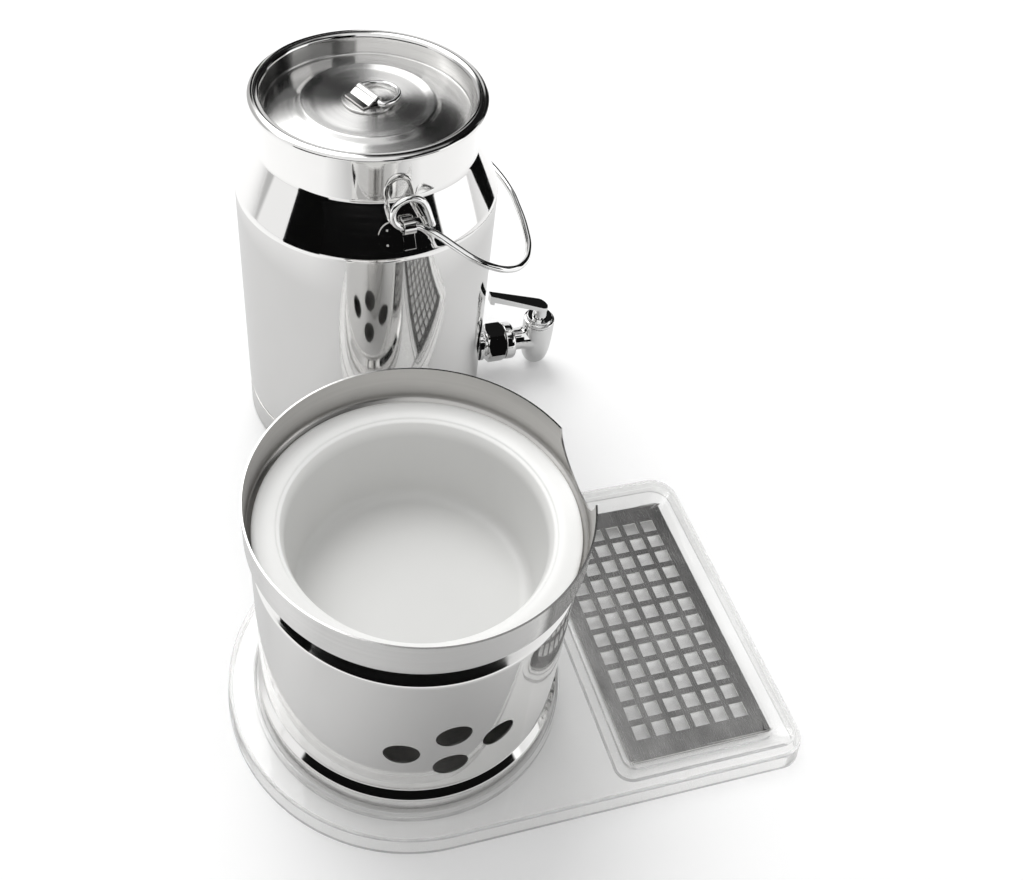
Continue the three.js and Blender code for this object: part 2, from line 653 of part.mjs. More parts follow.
// The churn's outside, from the middle of its floor out and up
const churnPath = [
  [0, CHURN_FLOOR_HEIGHT],
  [CHURN_FOOT_RADIUS, CHURN_FLOOR_HEIGHT, CHURN_FLOOR_FILLET],
  [CHURN_FOOT_RADIUS, CHURN_STEP_HEIGHT],
  [CHURN_RADIUS, CHURN_STEP_HEIGHT + CHURN_STEP_RISE],
  [CHURN_RADIUS, SHOULDER_START_HEIGHT, SHOULDER_FILLET],
  [NECK_RADIUS, SHOULDER_END_HEIGHT, SHOULDER_FILLET],
  [NECK_RADIUS, NECK_HEIGHT],
  [CHURN_RIM_RADIUS, CHURN_RIM_HEIGHT],
];

function churnBody() {
  const shell = revolve(thicken(roundedPath(churnPath), CHURN_WALL), LARGE_STEPS);
  const hole = lyingBore(TAP_SHANK_RADIUS + CLEARANCE, CHURN_RADIUS / 2, CHURN_RADIUS + OVERRUN);
  const body = solidOf(shell).subtract(hole.translate(0, 0, TAP_HEIGHT));
  return meshOf("churn_body", body, polishedSteel());
}

function churnFootRing() {
  const path = outlineOf([
    [CHURN_RADIUS, CHURN_STEP_HEIGHT - CLEARANCE],
    [CHURN_RADIUS, 0],
    [CHURN_RADIUS - FOOT_RING_LIP, 0],
  ]);
  const band = revolve(thicken(path, -FOOT_RING_SHEET), LARGE_STEPS);
  return meshOf("churn_foot_ring", solidOf(band), brushedSteel());
}

// The lid's upper face from its centre out, with heights from the top of its rim
const lidPath = [
  [0, -LID_DISC_DEPTH],
  [LID_DISC_RADIUS, -LID_DISC_DEPTH],
  [LID_BOSS_RADIUS, -LID_BOSS_DEPTH, LID_FILLET],
  [LID_BOSS_RADIUS + LID_BOSS_STEP, -LID_PAN_DEPTH + LID_PAN_CROWN, LID_FILLET],
  [LID_PAN_RADIUS, -LID_PAN_DEPTH],
  [LID_PAN_MOUTH_RADIUS, -LID_PAN_MOUTH_DROP, LID_FILLET],
  [LID_RIM_CROWN_RADIUS, 0, LID_FILLET],
  [LID_RIM_CROWN_RADIUS + LID_RIM_CROWN_WIDTH, -LID_RIM_CROWN_DROP],
  [LID_RIM_RADIUS, -LID_RIM_SKIRT],
];

// Height of the top of the lid's rim above the churn's foot, with the rim resting on the churn's
const LID_TOP_HEIGHT = (() => {
  const rimLine = outlineOf(churnPath.slice(-2));
  const rimTop = thicken(rimLine, CHURN_WALL)[2];
  const crown = outlineOf([lidPath[6], lidPath[7]]);
  const fall = (rimTop.x - crown[0].x) / (crown[1].x - crown[0].x);
  const underside = crown[0].y + fall * (crown[1].y - crown[0].y) - LID_SHEET - CLEARANCE;
  return rimTop.y - underside;
})();
const LID_DISC_HEIGHT = LID_TOP_HEIGHT - LID_DISC_DEPTH;

function lidPan() {
  const section = thicken(roundedPath(lidPath), -LID_SHEET);
  const mesh = meshOf("lid_pan", solidOf(revolve(section, LARGE_STEPS)), brushedSteel());
  mesh.position.z = LID_TOP_HEIGHT;
  return mesh;
}

function lidRingPlate() {
  const plate = cylinder(RING_PLATE_RADIUS, 0, RING_PLATE_SHEET, SMALL_STEPS);
  const mesh = meshOf("lid_ring_plate", solidOf(plate), brushedSteel());
  mesh.position.z = LID_DISC_HEIGHT + CLEARANCE;
  return mesh;
}

const RING_STRAP_BASE = LID_DISC_HEIGHT + RING_PLATE_SHEET + CLEARANCE * 2;
const RING_SLEEVE_RADIUS = RING_WIRE_RADIUS + RING_STRAP_PLAY;
const RING_AXIS_HEIGHT = RING_STRAP_BASE + RING_WIRE_RADIUS + RING_STRAP_LIFT;

// The strap's side: a flap that ramps up over the sleeve, open below the wire
function lidRingStrap() {
  const outer = RING_SLEEVE_RADIUS + RING_STRAP_SHEET;
  const rise = RING_AXIS_HEIGHT - RING_STRAP_BASE;
  const rampTop = Math.PI - QUARTER_TURN / 3;
  const outline = [
    ...outlineOf([[-RING_STRAP_FLAP, 0], [-RING_SLEEVE_RADIUS, 0]]),
    ...arcPoints(0, rise, RING_SLEEVE_RADIUS, Math.PI, 0, HUMP_STEPS),
    ...outlineOf([[RING_SLEEVE_RADIUS, 0], [outer, 0]]),
    ...arcPoints(0, rise, outer, 0, rampTop, HUMP_STEPS),
    ...outlineOf([[-RING_STRAP_RAMP, RING_STRAP_SHEET], [-RING_STRAP_FLAP, RING_STRAP_SHEET]]),
  ];
  const mesh = meshOf("lid_ring_strap", solidOf(sidePrism(outline, RING_STRAP_LENGTH)), brushedSteel());
  mesh.position.z = RING_STRAP_BASE;
  return mesh;
}

// The ring's wire: straight in the sleeve, where its ends meet, and an oval bow outside
function lidRing() {
  const half = RING_HALF_WIDTH;
  const straight = (side) => new THREE.Vector3(0, side * half * RING_BOW_SHARE, 0);
  const end = (side) => new THREE.Vector3(0, (side * RING_END_GAP) / 2, 0);
  const middle = (side) => new THREE.Vector3(0, (side * half) / 2, 0);
  const bow = arcPoints(0, 0, 1, -QUARTER_TURN, QUARTER_TURN, RING_BOW_STEPS).slice(1, -1);
  const bend = RING_WIRE_RADIUS * 2;
  const bowPoints = bow.map(
    (unit) => new THREE.Vector3(bend + (RING_DEPTH - bend) * unit.x, half * unit.y, 0),
  );
  const points = [end(-1), middle(-1), straight(-1), ...bowPoints, straight(1), middle(1), end(1)];
  points[0].y -= RING_OFFSET;
  points.at(-1).y -= RING_OFFSET;
  const mesh = meshOf("lid_ring", solidOf(wire(points, RING_WIRE_RADIUS, RING_STEPS, RING_SIDES)), chrome());
  mesh.position.set(0, RING_OFFSET, RING_AXIS_HEIGHT);
  mesh.rotation.y = RING_TILT;
  return mesh;
}

function lid() {
  const ringFitting = new THREE.Group();
  ringFitting.rotation.z = RING_TURN;
  ringFitting.add(lidRingStrap(), lidRing());
  const group = new THREE.Group();
  group.add(lidPan(), lidRingPlate(), ringFitting);
  return group;
}

// The ear's plate: a slice of the shoulder's cone inside an outline with round ends
function earPlate(name) {
  const slope = outlineOf([[CHURN_RADIUS, SHOULDER_START_HEIGHT], [NECK_RADIUS, SHOULDER_END_HEIGHT]]);
  const inner = thicken(slope, -CLEARANCE).slice(2).reverse();
  const outer = thicken(slope, -CLEARANCE - EAR_PLATE_SHEET).slice(2);
  const skin = revolve([...inner, ...outer], LARGE_STEPS).rotateZ(-EAR_TURN);
  const straight = EAR_PLATE_HALF_WIDTH - EAR_PLATE_HALF_HEIGHT;
  const outline = [
    ...arcPoints(straight, 0, EAR_PLATE_HALF_HEIGHT, -QUARTER_TURN, QUARTER_TURN, HUMP_STEPS),
    ...arcPoints(-straight, 0, EAR_PLATE_HALF_HEIGHT, QUARTER_TURN, 3 * QUARTER_TURN, HUMP_STEPS),
  ];
  const reach = EAR_PLATE_HALF_HEIGHT;
  const cutter = prism(outline, -reach, reach)
    .translate(0, EAR_PLATE_CENTRE, 0)
    .rotateX(SHOULDER_ANGLE)
    .translate(0, -CHURN_RADIUS, SHOULDER_START_HEIGHT);
  return meshOf(name, solidOf(skin).intersect(solidOf(cutter)), polishedSteel());
}

const EAR_STRAP_BASE = CLEARANCE * 2 + EAR_PLATE_SHEET;
const EAR_EYE_HEIGHT = EAR_STRAP_BASE + EAR_EYE_LIFT;

// The ear's strap: two tabs and a hump, drawn across the shoulder's slope
function earStrap(name) {
  const inner = BAIL_WIRE_RADIUS + EAR_STRAP_PLAY;
  const outer = inner + EAR_STRAP_SHEET;
  const outline = [
    ...outlineOf([[-EAR_STRAP_LOWER_TAB, 0], [-inner, 0]]),
    ...arcPoints(0, EAR_EYE_LIFT, inner, Math.PI, 0, HUMP_STEPS),
    ...outlineOf([[inner, 0], [EAR_STRAP_UPPER_TAB, 0], [EAR_STRAP_UPPER_TAB, EAR_STRAP_SHEET]]),
    ...outlineOf([[outer, EAR_STRAP_SHEET]]),
    ...arcPoints(0, EAR_EYE_LIFT, outer, 0, Math.PI, HUMP_STEPS),
    ...outlineOf([[-outer, EAR_STRAP_SHEET], [-EAR_STRAP_LOWER_TAB, EAR_STRAP_SHEET]]),
  ];
  const strap = sidePrism(outline, EAR_STRAP_WIDTH).rotateZ(QUARTER_TURN);
  const mesh = meshOf(name, solidOf(strap), polishedSteel());
  mesh.position.set(0, EAR_EYE_RISE, EAR_STRAP_BASE);
  return mesh;
}

// An ear on the front of the shoulder, or turned half round to its back
function ear(side, turn) {
  const slope = new THREE.Group();
  slope.position.set(0, -CHURN_RADIUS, SHOULDER_START_HEIGHT);
  slope.rotation.x = SHOULDER_ANGLE;
  slope.add(earStrap(`ear_strap_${side}`));
  const group = new THREE.Group();
  group.rotation.z = turn;
  group.add(earPlate(`ear_plate_${side}`), slope);
  return group;
}

// Distance of the eye from the churn's axis, and its height
const EYE_DISTANCE =
  CHURN_RADIUS - EAR_EYE_RISE * Math.cos(SHOULDER_ANGLE) + EAR_EYE_HEIGHT * Math.sin(SHOULDER_ANGLE);
const EYE_HEIGHT =
  SHOULDER_START_HEIGHT + EAR_EYE_RISE * Math.sin(SHOULDER_ANGLE) + EAR_EYE_HEIGHT * Math.cos(SHOULDER_ANGLE);

// The bail in its own frame, with the curls' common axis as its Y axis: from the front curl's free tip
// over its top, down through the eye, out along the bow and back the same way behind
function bail() {
  const curl = arcPoints(0, 0, BAIL_CURL_RADIUS, BAIL_CURL_END, 3 * QUARTER_TURN, BAIL_ARC_STEPS);
  const along = new THREE.Vector2(Math.cos(BAIL_DROOP), -Math.sin(BAIL_DROOP));
  const bowStart = new THREE.Vector2(BAIL_STRAIGHT, -BAIL_CURL_RADIUS);
  const place = (flat, distance) => new THREE.Vector3(flat.x, -distance, flat.y);
  const tip = place(new THREE.Vector2(BAIL_TIP_OUT, -BAIL_TIP_DROP), EYE_DISTANCE);
  const distances = [
    ...BAIL_SPREAD_SHARES.map((share) => EYE_DISTANCE + share * BAIL_BOW_SPREAD),
    ...BAIL_CLOSE_SHARES.map((share) => (EYE_DISTANCE + BAIL_BOW_SPREAD) * share),
  ];
  const bow = BAIL_REACH_SHARES.map((share, i) => {
    const out = share * BAIL_BOW_REACH - BAIL_STRAIGHT / 2;
    return place(bowStart.clone().addScaledVector(along, out), distances[i]);
  });
  const top = place(bowStart.clone().addScaledVector(along, BAIL_BOW_REACH - BAIL_STRAIGHT / 2), 0);
  const frontCurl = curl.map((flat) => place(flat, EYE_DISTANCE));
  const front = [tip, ...frontCurl, place(bowStart, EYE_DISTANCE), ...bow];
  const back = front.map((point) => new THREE.Vector3(point.x, -point.y, point.z)).reverse();
  const path = [...front, top, ...back];
  const mesh = meshOf("bail", solidOf(wire(path, BAIL_WIRE_RADIUS, BAIL_STEPS, BAIL_SIDES)), chrome());
  mesh.position.z = EYE_HEIGHT - BAIL_SAG + BAIL_CURL_RADIUS;
  return mesh;
}

// A hexagonal nut along +X with both rims of its corners turned off
function hexagonNut(radius, from, to, chamfer) {
  const flat = radius * Math.cos(Math.PI / HEX_SIDES);
  const turned = outlineOf([
    [0, from],
    [flat, from],
    [radius, from + chamfer],
    [radius, to - chamfer],
    [flat, to],
    [0, to],
  ]);
  const blank = solidOf(lying(cylinder(radius, from, to, HEX_SIDES)));
  return blank.intersect(solidOf(lying(revolve(turned, SMALL_STEPS))));
}

// A lying bore whose flats lie at its radius
const lyingBore = (radius, from, to) =>
  solidOf(lying(cylinder(radius / Math.cos(Math.PI / BORE_STEPS), from, to, BORE_STEPS)));

// Where the inner seal's outward face lies, clear of the churn's round wall above and inside its step
const INNER_SEAL_FACE = (() => {
  const inside = (CHURN_FOOT_RADIUS - CHURN_WALL) * Math.cos(Math.PI / LARGE_STEPS);
  return Math.sqrt(inside ** 2 - TAP_INNER_SEAL_RADIUS ** 2) - CHURN_RADIUS - CLEARANCE;
})();
const INNER_SEAL_END = INNER_SEAL_FACE - TAP_SEAL_THICKNESS;
const BACK_NUT_FACE = INNER_SEAL_END - CLEARANCE;
const BACK_NUT_END = BACK_NUT_FACE - TAP_BACK_NUT_LENGTH;

function tapBackNut() {
  const nut = hexagonNut(TAP_BACK_NUT_RADIUS, BACK_NUT_END, BACK_NUT_FACE, TAP_SEAL_THICKNESS / 2);
  const bore = lyingBore(TAP_SHANK_RADIUS + CLEARANCE, BACK_NUT_END - OVERRUN, BACK_NUT_FACE + OVERRUN);
  return meshOf("tap_back_nut", nut.subtract(bore), chrome());
}

function tapInnerSeal() {
  const inner = TAP_SHANK_RADIUS + CLEARANCE;
  const seal = lying(ring(inner, TAP_INNER_SEAL_RADIUS, INNER_SEAL_END, INNER_SEAL_FACE, SMALL_STEPS));
  return meshOf("tap_inner_seal", solidOf(seal), rubber());
}

function tapOuterSeal() {
  const inner = TAP_SHANK_RADIUS + CLEARANCE;
  const seal = lying(ring(inner, TAP_OUTER_SEAL_RADIUS, CLEARANCE, TAP_OUTER_SEAL_END, SMALL_STEPS));
  return meshOf("tap_outer_seal", solidOf(seal), rubber());
}

// The shank: a pipe through the wall with a flange and a ridged thread for the union nut
function tapShank() {
  const pitch = UNION_NUT_START / (TAP_THREAD_TURNS + 1);
  const ridges = Array.from({ length: TAP_THREAD_TURNS }, (_, i) => {
    const start = TAP_THREAD_START + pitch * (i + SETBACK_SHARE);
    const root = TAP_THREAD_RADIUS - TAP_THREAD_DEPTH;
    return [
      [root, start],
      [TAP_THREAD_RADIUS, start + pitch / 4],
      [TAP_THREAD_RADIUS, start + pitch / 2],
      [root, start + (pitch * 3) / 4],
    ];
  }).flat();
  const outline = outlineOf([
    [0, BACK_NUT_END - TAP_SHANK_END],
    [TAP_SHANK_RADIUS, BACK_NUT_END - TAP_SHANK_END],
    [TAP_SHANK_RADIUS, TAP_FLANGE_START],
    [TAP_FLANGE_RADIUS, TAP_FLANGE_START],
    [TAP_FLANGE_RADIUS, TAP_THREAD_START],
    [TAP_THREAD_RADIUS - TAP_THREAD_DEPTH, TAP_THREAD_START],
    ...ridges,
    [TAP_THREAD_RADIUS, UNION_NUT_BASE],
    [TAP_THREAD_RADIUS, TAP_THREAD_END],
    [0, TAP_THREAD_END],
  ]);
  const shank = solidOf(lying(revolve(outline, SMALL_STEPS)));
  const bore = lyingBore(TAP_BORE_RADIUS, BACK_NUT_END - TAP_SHANK_END - OVERRUN, TAP_THREAD_END + OVERRUN);
  return meshOf("tap_shank", shank.subtract(bore), chrome());
}

// The union nut: wide over the thread and the tail's flange, narrow behind the flange
function tapUnionNut() {
  const nut = hexagonNut(UNION_NUT_RADIUS, UNION_NUT_BASE, UNION_NUT_END, UNION_NUT_CHAMFER);
  const shoulder = TAIL_FLANGE_END + CLEARANCE;
  const wide = lyingBore(TAP_THREAD_RADIUS + CLEARANCE, UNION_NUT_BASE - OVERRUN, shoulder);
  const narrow = lyingBore(TAIL_RADIUS + CLEARANCE, UNION_NUT_BASE, UNION_NUT_END + OVERRUN);
  return meshOf("tap_union_nut", nut.subtract(wide).subtract(narrow), chrome());
}

function tapLockRing() {
  const start = UNION_NUT_END + CLEARANCE;
  const end = start + LOCK_RING_LENGTH;
  const inner = TAIL_RADIUS + CLEARANCE;
  const section = roundedPath([
    [inner, start],
    [LOCK_RING_RADIUS, start],
    [LOCK_RING_RADIUS, end, LOCK_RING_ROUNDING],
    [inner, end],
  ]);
  return meshOf("tap_lock_ring", solidOf(lying(revolve(section, SMALL_STEPS))), chrome());
}

function tapBody() {
  const flareEnd = TAP_REACH - BARREL_RADIUS / 2;
  const tail = lying(
    revolve(
      outlineOf([
        [0, TAIL_START],
        [TAP_THREAD_RADIUS, TAIL_START],
        [TAP_THREAD_RADIUS, TAIL_FLANGE_END],
        [TAIL_RADIUS, TAIL_FLANGE_END],
        [TAIL_RADIUS, flareEnd - NECK_FLARE_LENGTH],
        [NECK_FLARE_RADIUS, flareEnd],
        [NECK_FLARE_RADIUS, TAP_REACH],
        [0, TAP_REACH],
      ]),
      SMALL_STEPS,
    ),
  );
  const barrel = revolve(
    [
      new THREE.Vector2(0, -BARREL_BOTTOM),
      ...BARREL_DROP_SHARES.map(
        (share, i) => new THREE.Vector2(BARREL_RADIUS * BARREL_RADIUS_SHARES[i], -BARREL_BOTTOM * share),
      ),
      ...outlineOf([[BARREL_RADIUS, BARREL_TOP], [0, BARREL_TOP]]),
    ],
    SMALL_STEPS,
  ).translate(TAP_REACH, 0, 0);
  const upright = (radius, from, to) =>
    solidOf(cylinder(radius, from, to, BORE_STEPS).translate(TAP_REACH, 0, 0));
  const body = solidOf(tail)
    .add(solidOf(barrel))
    .subtract(upright(CAVITY_RADIUS, -CAVITY_DEPTH, BARREL_TOP + OVERRUN))
    .subtract(upright(SPOUT_BORE_RADIUS, -BARREL_BOTTOM - OVERRUN, 0))
    .subtract(lyingBore(TAP_BORE_RADIUS, TAIL_START - OVERRUN, TAP_REACH));
  return meshOf("tap_body", body, chrome());
}

// The bonnet over the barrel's mouth, with a flange below and a narrower ring above
function tapBonnet() {
  const base = BARREL_TOP + CLEARANCE;
  const section = outlineOf([
    [STEM_RADIUS + CLEARANCE, base],
    [BONNET_RADIUS, base],
    [BONNET_RADIUS, base + BONNET_FLANGE_HEIGHT - BONNET_CHAMFER],
    [BONNET_RADIUS - BONNET_CHAMFER, base + BONNET_FLANGE_HEIGHT],
    [BONNET_TOP_RADIUS, base + BONNET_FLANGE_HEIGHT],
    [BONNET_TOP_RADIUS, base + BONNET_HEIGHT - BONNET_CHAMFER],
    [BONNET_TOP_RADIUS - BONNET_CHAMFER, base + BONNET_HEIGHT],
    [STEM_RADIUS + CLEARANCE, base + BONNET_HEIGHT],
  ]);
  const mesh = meshOf("tap_bonnet", solidOf(revolve(section, SMALL_STEPS)), chrome());
  mesh.position.x = TAP_REACH;
  return mesh;
}

function tapStemSeal() {
  const inner = STEM_RADIUS + CLEARANCE;
  const seal = ring(inner, CAVITY_RADIUS - CLEARANCE, PLUG_TOP + CLEARANCE, STEM_SEAL_TOP, SMALL_STEPS);
  const mesh = meshOf("tap_stem_seal", solidOf(seal), rubber());
  mesh.position.x = TAP_REACH;
  return mesh;
}

// The plug: closed across the pipe at rest, with a way down to the spout from its side
function tapPlug() {
  const bottom = -CAVITY_DEPTH + PLUG_GAP;
  const turned = outlineOf([
    [0, bottom],
    [PLUG_RADIUS, bottom],
    [PLUG_RADIUS, PLUG_TOP],
    [STEM_RADIUS, PLUG_TOP],
    [STEM_RADIUS, STEM_TOP],
    [0, STEM_TOP],
  ]);
  const sideBore = lying(cylinder(PLUG_BORE_RADIUS, 0, PLUG_RADIUS + OVERRUN, BORE_STEPS));
  const sideWay = sideBore.rotateZ(QUARTER_TURN);
  const downWay = cylinder(PLUG_BORE_RADIUS, bottom - OVERRUN, PLUG_BORE_TOP, BORE_STEPS);
  const plug = solidOf(revolve(turned, BORE_STEPS)).subtract(solidOf(sideWay)).subtract(solidOf(downWay));
  return meshOf("tap_plug", plug, chrome());
}

// The lever: its side outline within its plan outline, on a hub that flares up into it
function tapLever() {
  const slope = LEVER_RISE / LEVER_LENGTH;
  const topAt = (x) => LEVER_TOP - x * slope;
  const underAt = (x) => topAt(x) - LEVER_THICKNESS + (x * LEVER_SWELL) / LEVER_LENGTH;
  const end = LEVER_END_RADIUS + OVERRUN;
  const lip = -LEVER_LENGTH + LEVER_LIP_WIDTH;
  const side = outlineOf([
    [end, underAt(end)],
    [end, topAt(end)],
    [-LEVER_LENGTH - OVERRUN, topAt(-LEVER_LENGTH - OVERRUN)],
    [-LEVER_LENGTH - OVERRUN, underAt(-LEVER_LENGTH) - LEVER_LIP_DROP],
    [lip, underAt(lip) - LEVER_LIP_DROP],
    [lip + LEVER_LIP_WIDTH, underAt(lip + LEVER_LIP_WIDTH)],
  ]);
  const tipCorner = -LEVER_LENGTH + LEVER_TIP_CORNER;
  const plan = [
    ...arcPoints(0, 0, LEVER_END_RADIUS, -QUARTER_TURN, QUARTER_TURN, HUMP_STEPS),
    ...outlineOf([
      [tipCorner, LEVER_TIP_HALF_WIDTH],
      [-LEVER_LENGTH, LEVER_TIP_HALF_WIDTH - LEVER_TIP_CORNER],
      [-LEVER_LENGTH, LEVER_TIP_CORNER - LEVER_TIP_HALF_WIDTH],
      [tipCorner, -LEVER_TIP_HALF_WIDTH],
    ]),
  ];
  const highest = topAt(-LEVER_LENGTH) + OVERRUN;
  const arm = solidOf(sidePrism(side, 2 * end)).intersect(solidOf(prism(plan, 0, highest)));
  const base = BARREL_TOP + BONNET_HEIGHT + CLEARANCE * 2;
  const hub = revolve(
    outlineOf([
      [0, base],
      [LEVER_HUB_RADIUS, base],
      [LEVER_HUB_TOP_RADIUS, LEVER_TOP - LEVER_THICKNESS],
      [LEVER_HUB_TOP_RADIUS, highest],
      [0, highest],
    ]),
    SMALL_STEPS,
  );
  const middleAt = (x) => topAt(x) - LEVER_THICKNESS / 2;
  const above = outlineOf([
    [end, middleAt(end)],
    [end, highest + OVERRUN],
    [-end, highest + OVERRUN],
    [-end, middleAt(-end)],
  ]);
  const socket = cylinder(STEM_RADIUS + CLEARANCE, base - OVERRUN, STEM_TOP + CLEARANCE, BORE_STEPS);
  const lever = solidOf(hub)
    .subtract(solidOf(sidePrism(above, 2 * end)))
    .add(arm)
    .subtract(solidOf(socket));
  return meshOf("tap_lever", lever, chrome());
}

function tap() {
  const handle = new THREE.Group();
  handle.position.x = TAP_REACH;
  handle.add(tapPlug(), tapLever());
  const group = new THREE.Group();
  group.position.set(CHURN_RADIUS, 0, TAP_HEIGHT);
  group.add(tapBackNut(), tapInnerSeal(), tapOuterSeal(), tapShank(), tapUnionNut(), tapLockRing());
  group.add(tapBody(), tapBonnet(), tapStemSeal(), handle);
  return group;
}

function stand() {
  const group = new THREE.Group();
  group.position.z = STAND_BASE;
  group.add(standDrum(), standBottomPlate(), iceBasin());
  return group;
}

function churn() {
  const group = new THREE.Group();
  group.position.set(CHURN_OFFSET, CHURN_DISTANCE, 0);
  const carrying = new THREE.Group();
  carrying.rotation.z = EAR_TURN;
  carrying.add(ear("front", 0), ear("back", Math.PI), bail());
  group.add(churnBody(), churnFootRing(), lid(), carrying, tap());
  return group;
}

// The whole dispenser, moved so that the middle of its underside is the origin
const dispenser = new THREE.Group();
dispenser.add(baseTray(), dripGrille(), stand(), churn());
const bounds = new THREE.Box3().setFromObject(dispenser);
const middle = bounds.getCenter(new THREE.Vector3());
dispenser.position.set(-middle.x, -middle.y, -bounds.min.z);

export default dispenser;
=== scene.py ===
"""A milk dispenser dressed for a studio picture: a churn with a tap, its lid and bail,
beside a drum stand with an ice basin on a clear tray with a drip grille."""

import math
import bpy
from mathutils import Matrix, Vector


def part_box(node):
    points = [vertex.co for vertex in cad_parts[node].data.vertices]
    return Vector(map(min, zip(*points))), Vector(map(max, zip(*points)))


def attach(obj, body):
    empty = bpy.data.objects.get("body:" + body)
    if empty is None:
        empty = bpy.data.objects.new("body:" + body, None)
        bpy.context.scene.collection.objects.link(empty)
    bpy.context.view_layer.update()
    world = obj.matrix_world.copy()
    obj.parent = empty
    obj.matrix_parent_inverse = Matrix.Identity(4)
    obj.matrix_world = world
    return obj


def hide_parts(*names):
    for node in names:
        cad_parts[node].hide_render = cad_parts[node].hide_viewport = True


bl_info = {
    "name": "Milk dispenser",
    "version": (1, 0, 0),
    "blender": (4, 5, 0),
    "location": "View3D > Sidebar > Dispenser",
    "description": "Models the dispenser's tray, stand, churn, lid, bail, tap and a studio",
    "category": "Object",
}

import bmesh
import bpy
from bpy.props import FloatProperty, FloatVectorProperty, PointerProperty
from mathutils import Matrix, Vector

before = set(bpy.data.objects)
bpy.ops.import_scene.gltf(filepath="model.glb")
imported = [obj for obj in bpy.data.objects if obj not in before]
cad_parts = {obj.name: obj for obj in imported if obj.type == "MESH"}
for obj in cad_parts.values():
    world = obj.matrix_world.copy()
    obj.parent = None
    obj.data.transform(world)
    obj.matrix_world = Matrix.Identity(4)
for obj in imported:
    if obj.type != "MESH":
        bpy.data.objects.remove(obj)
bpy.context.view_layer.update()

MM = 0.001
QUARTER = math.pi / 2
WALL_STEPS = 192
LID_STEPS = 160
FITTING_STEPS = 64
MERGE = 0.002 * MM

# Gap that touching pieces keep, in millimetres
CLEARANCE = 0.3

# Turn of the ears and of the lid's ring about the churn's axis, and tilt of the ring
EAR_TURN = 0.084
RING_TURN = 0.428
RING_TILT = 0.056


def middle_of(node):
    """The middle of a CAD node's box, in metres."""
    low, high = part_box(node)
    return (Vector(low) + Vector(high)) / 2


def foot_of(node):
    """The point on a round CAD node's axis at its lowest height."""
    middle = middle_of(node)
    return Vector((middle.x, middle.y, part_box(node)[0][2]))


def half_width(node):
    """Half of a CAD node's width along X."""
    low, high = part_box(node)
    return (high[0] - low[0]) / 2


STAND_FOOT = foot_of("stand_drum")
CHURN_FOOT = Vector((middle_of("churn_body").x, middle_of("churn_body").y, 0))
GRILLE_MIDDLE = middle_of("drip_grille")
TAP_AXIS = middle_of("tap_union_nut")
BASIN_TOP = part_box("ice_basin")[1][2]
TRAY_LOW, TRAY_HIGH = (Vector(corner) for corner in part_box("base_tray"))
GRILLE_LOW, GRILLE_HIGH = (Vector(corner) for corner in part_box("drip_grille"))


def length(name, description, value):
    """A size that a user can change, in metres."""
    return FloatProperty(name=name, description=description, default=value, unit="LENGTH")


def tone(name, description, value):
    """A colour that a user can change."""
    return FloatVectorProperty(
        name=name, description=description, subtype="COLOR", default=value, min=0, max=1
    )


class DispenserSizes(bpy.types.PropertyGroup):
    """Sizes of the dispenser's pieces."""

    tray_height: length("Tray height", "Height of the tray's deck", 0.014)
    tray_wall: length("Tray wall", "Thickness of the moulded plastic", 0.0024)
    grille_hole: length("Grille hole", "Width of a square hole", 0.009)
    grille_thickness: length("Grille thickness", "Thickness of the plate", 0.001)
    stand_radius: length(
        "Stand radius", "Radius of the foot and the collar", half_width("stand_drum")
    )
    stand_height: length("Stand height", "Height of the drum from foot to collar", 0.1735)
    notch_radius: length("Notch radius", "Radius of the collar's notch for the tap", 0.0272)
    vent_radius: length("Vent radius", "Radius of a round vent", 0.0098)
    basin_depth: length("Basin depth", "Depth of the ice basin", 0.06)
    churn_radius: length("Churn radius", "Outer radius of the body", half_width("churn_body"))
    shoulder_height: length("Shoulder height", "Height at which the shoulder starts", 0.1944)
    shoulder_run: length("Shoulder run", "How far the shoulder draws in", 0.016)
    shoulder_rise: length("Shoulder rise", "Height of the shoulder", 0.0311)
    neck_length: length("Neck length", "Height of the upright neck", 0.0285)
    sheet: length("Sheet", "Thickness of the sheet steel", 0.001)
    bail_wire: length("Bail wire", "Radius of the bail's wire", 0.0022)
    ring_wire: length("Ring wire", "Radius of the lid ring's wire", 0.0015)
    nut_radius: length("Union nut radius", "Radius across the nut's corners", 0.0154)
    lever_length: length("Lever length", "Length of the tap's lever", 0.0425)


class DispenserColours(bpy.types.PropertyGroup):
    """Colours of the dispenser's finishes."""

    polished: tone("Polished steel", "Colour of the mirror-polished sheet", (0.845, 0.84, 0.83))
    satin: tone("Satin steel", "Colour of the brushed sheet", (0.78, 0.775, 0.765))
    # The collar's inner side: duller brushed steel, its colour also darkened as painted shade
    # inside the collar
    dull_and_painted_shade: tone("Dull steel", "Colour of the collar's inner side", (0.56, 0.55, 0.535))
    chrome: tone("Chrome", "Colour of the plated fittings and wires", (0.92, 0.92, 0.915))
    clear: tone("Clear plastic", "Colour of the moulded tray", (0.97, 0.97, 0.965))
    # Also the colour of the painted highlight on the grille's hole edges
    white: tone("White plastic", "Colour of the ice basin", (0.97, 0.97, 0.955))
    rubber: tone("Rubber", "Colour of the seals", (0.022, 0.022, 0.024))
    floor: tone("Floor", "Colour of the studio floor", (0.93, 0.93, 0.93))


def choices(context):
    """The user's sizes and colours."""
    return context.scene.dispenser_sizes, context.scene.dispenser_colours


# Selecting and finishing


def deselect_all():
    """Leaves edit mode with nothing selected."""
    if bpy.context.mode != "OBJECT":
        bpy.ops.object.mode_set(mode="OBJECT")
    bpy.ops.object.select_all(action="DESELECT")


def take(piece):
    """Makes a piece the only selected and active one."""
    deselect_all()
    piece.select_set(True)
    bpy.context.view_layer.objects.active = piece


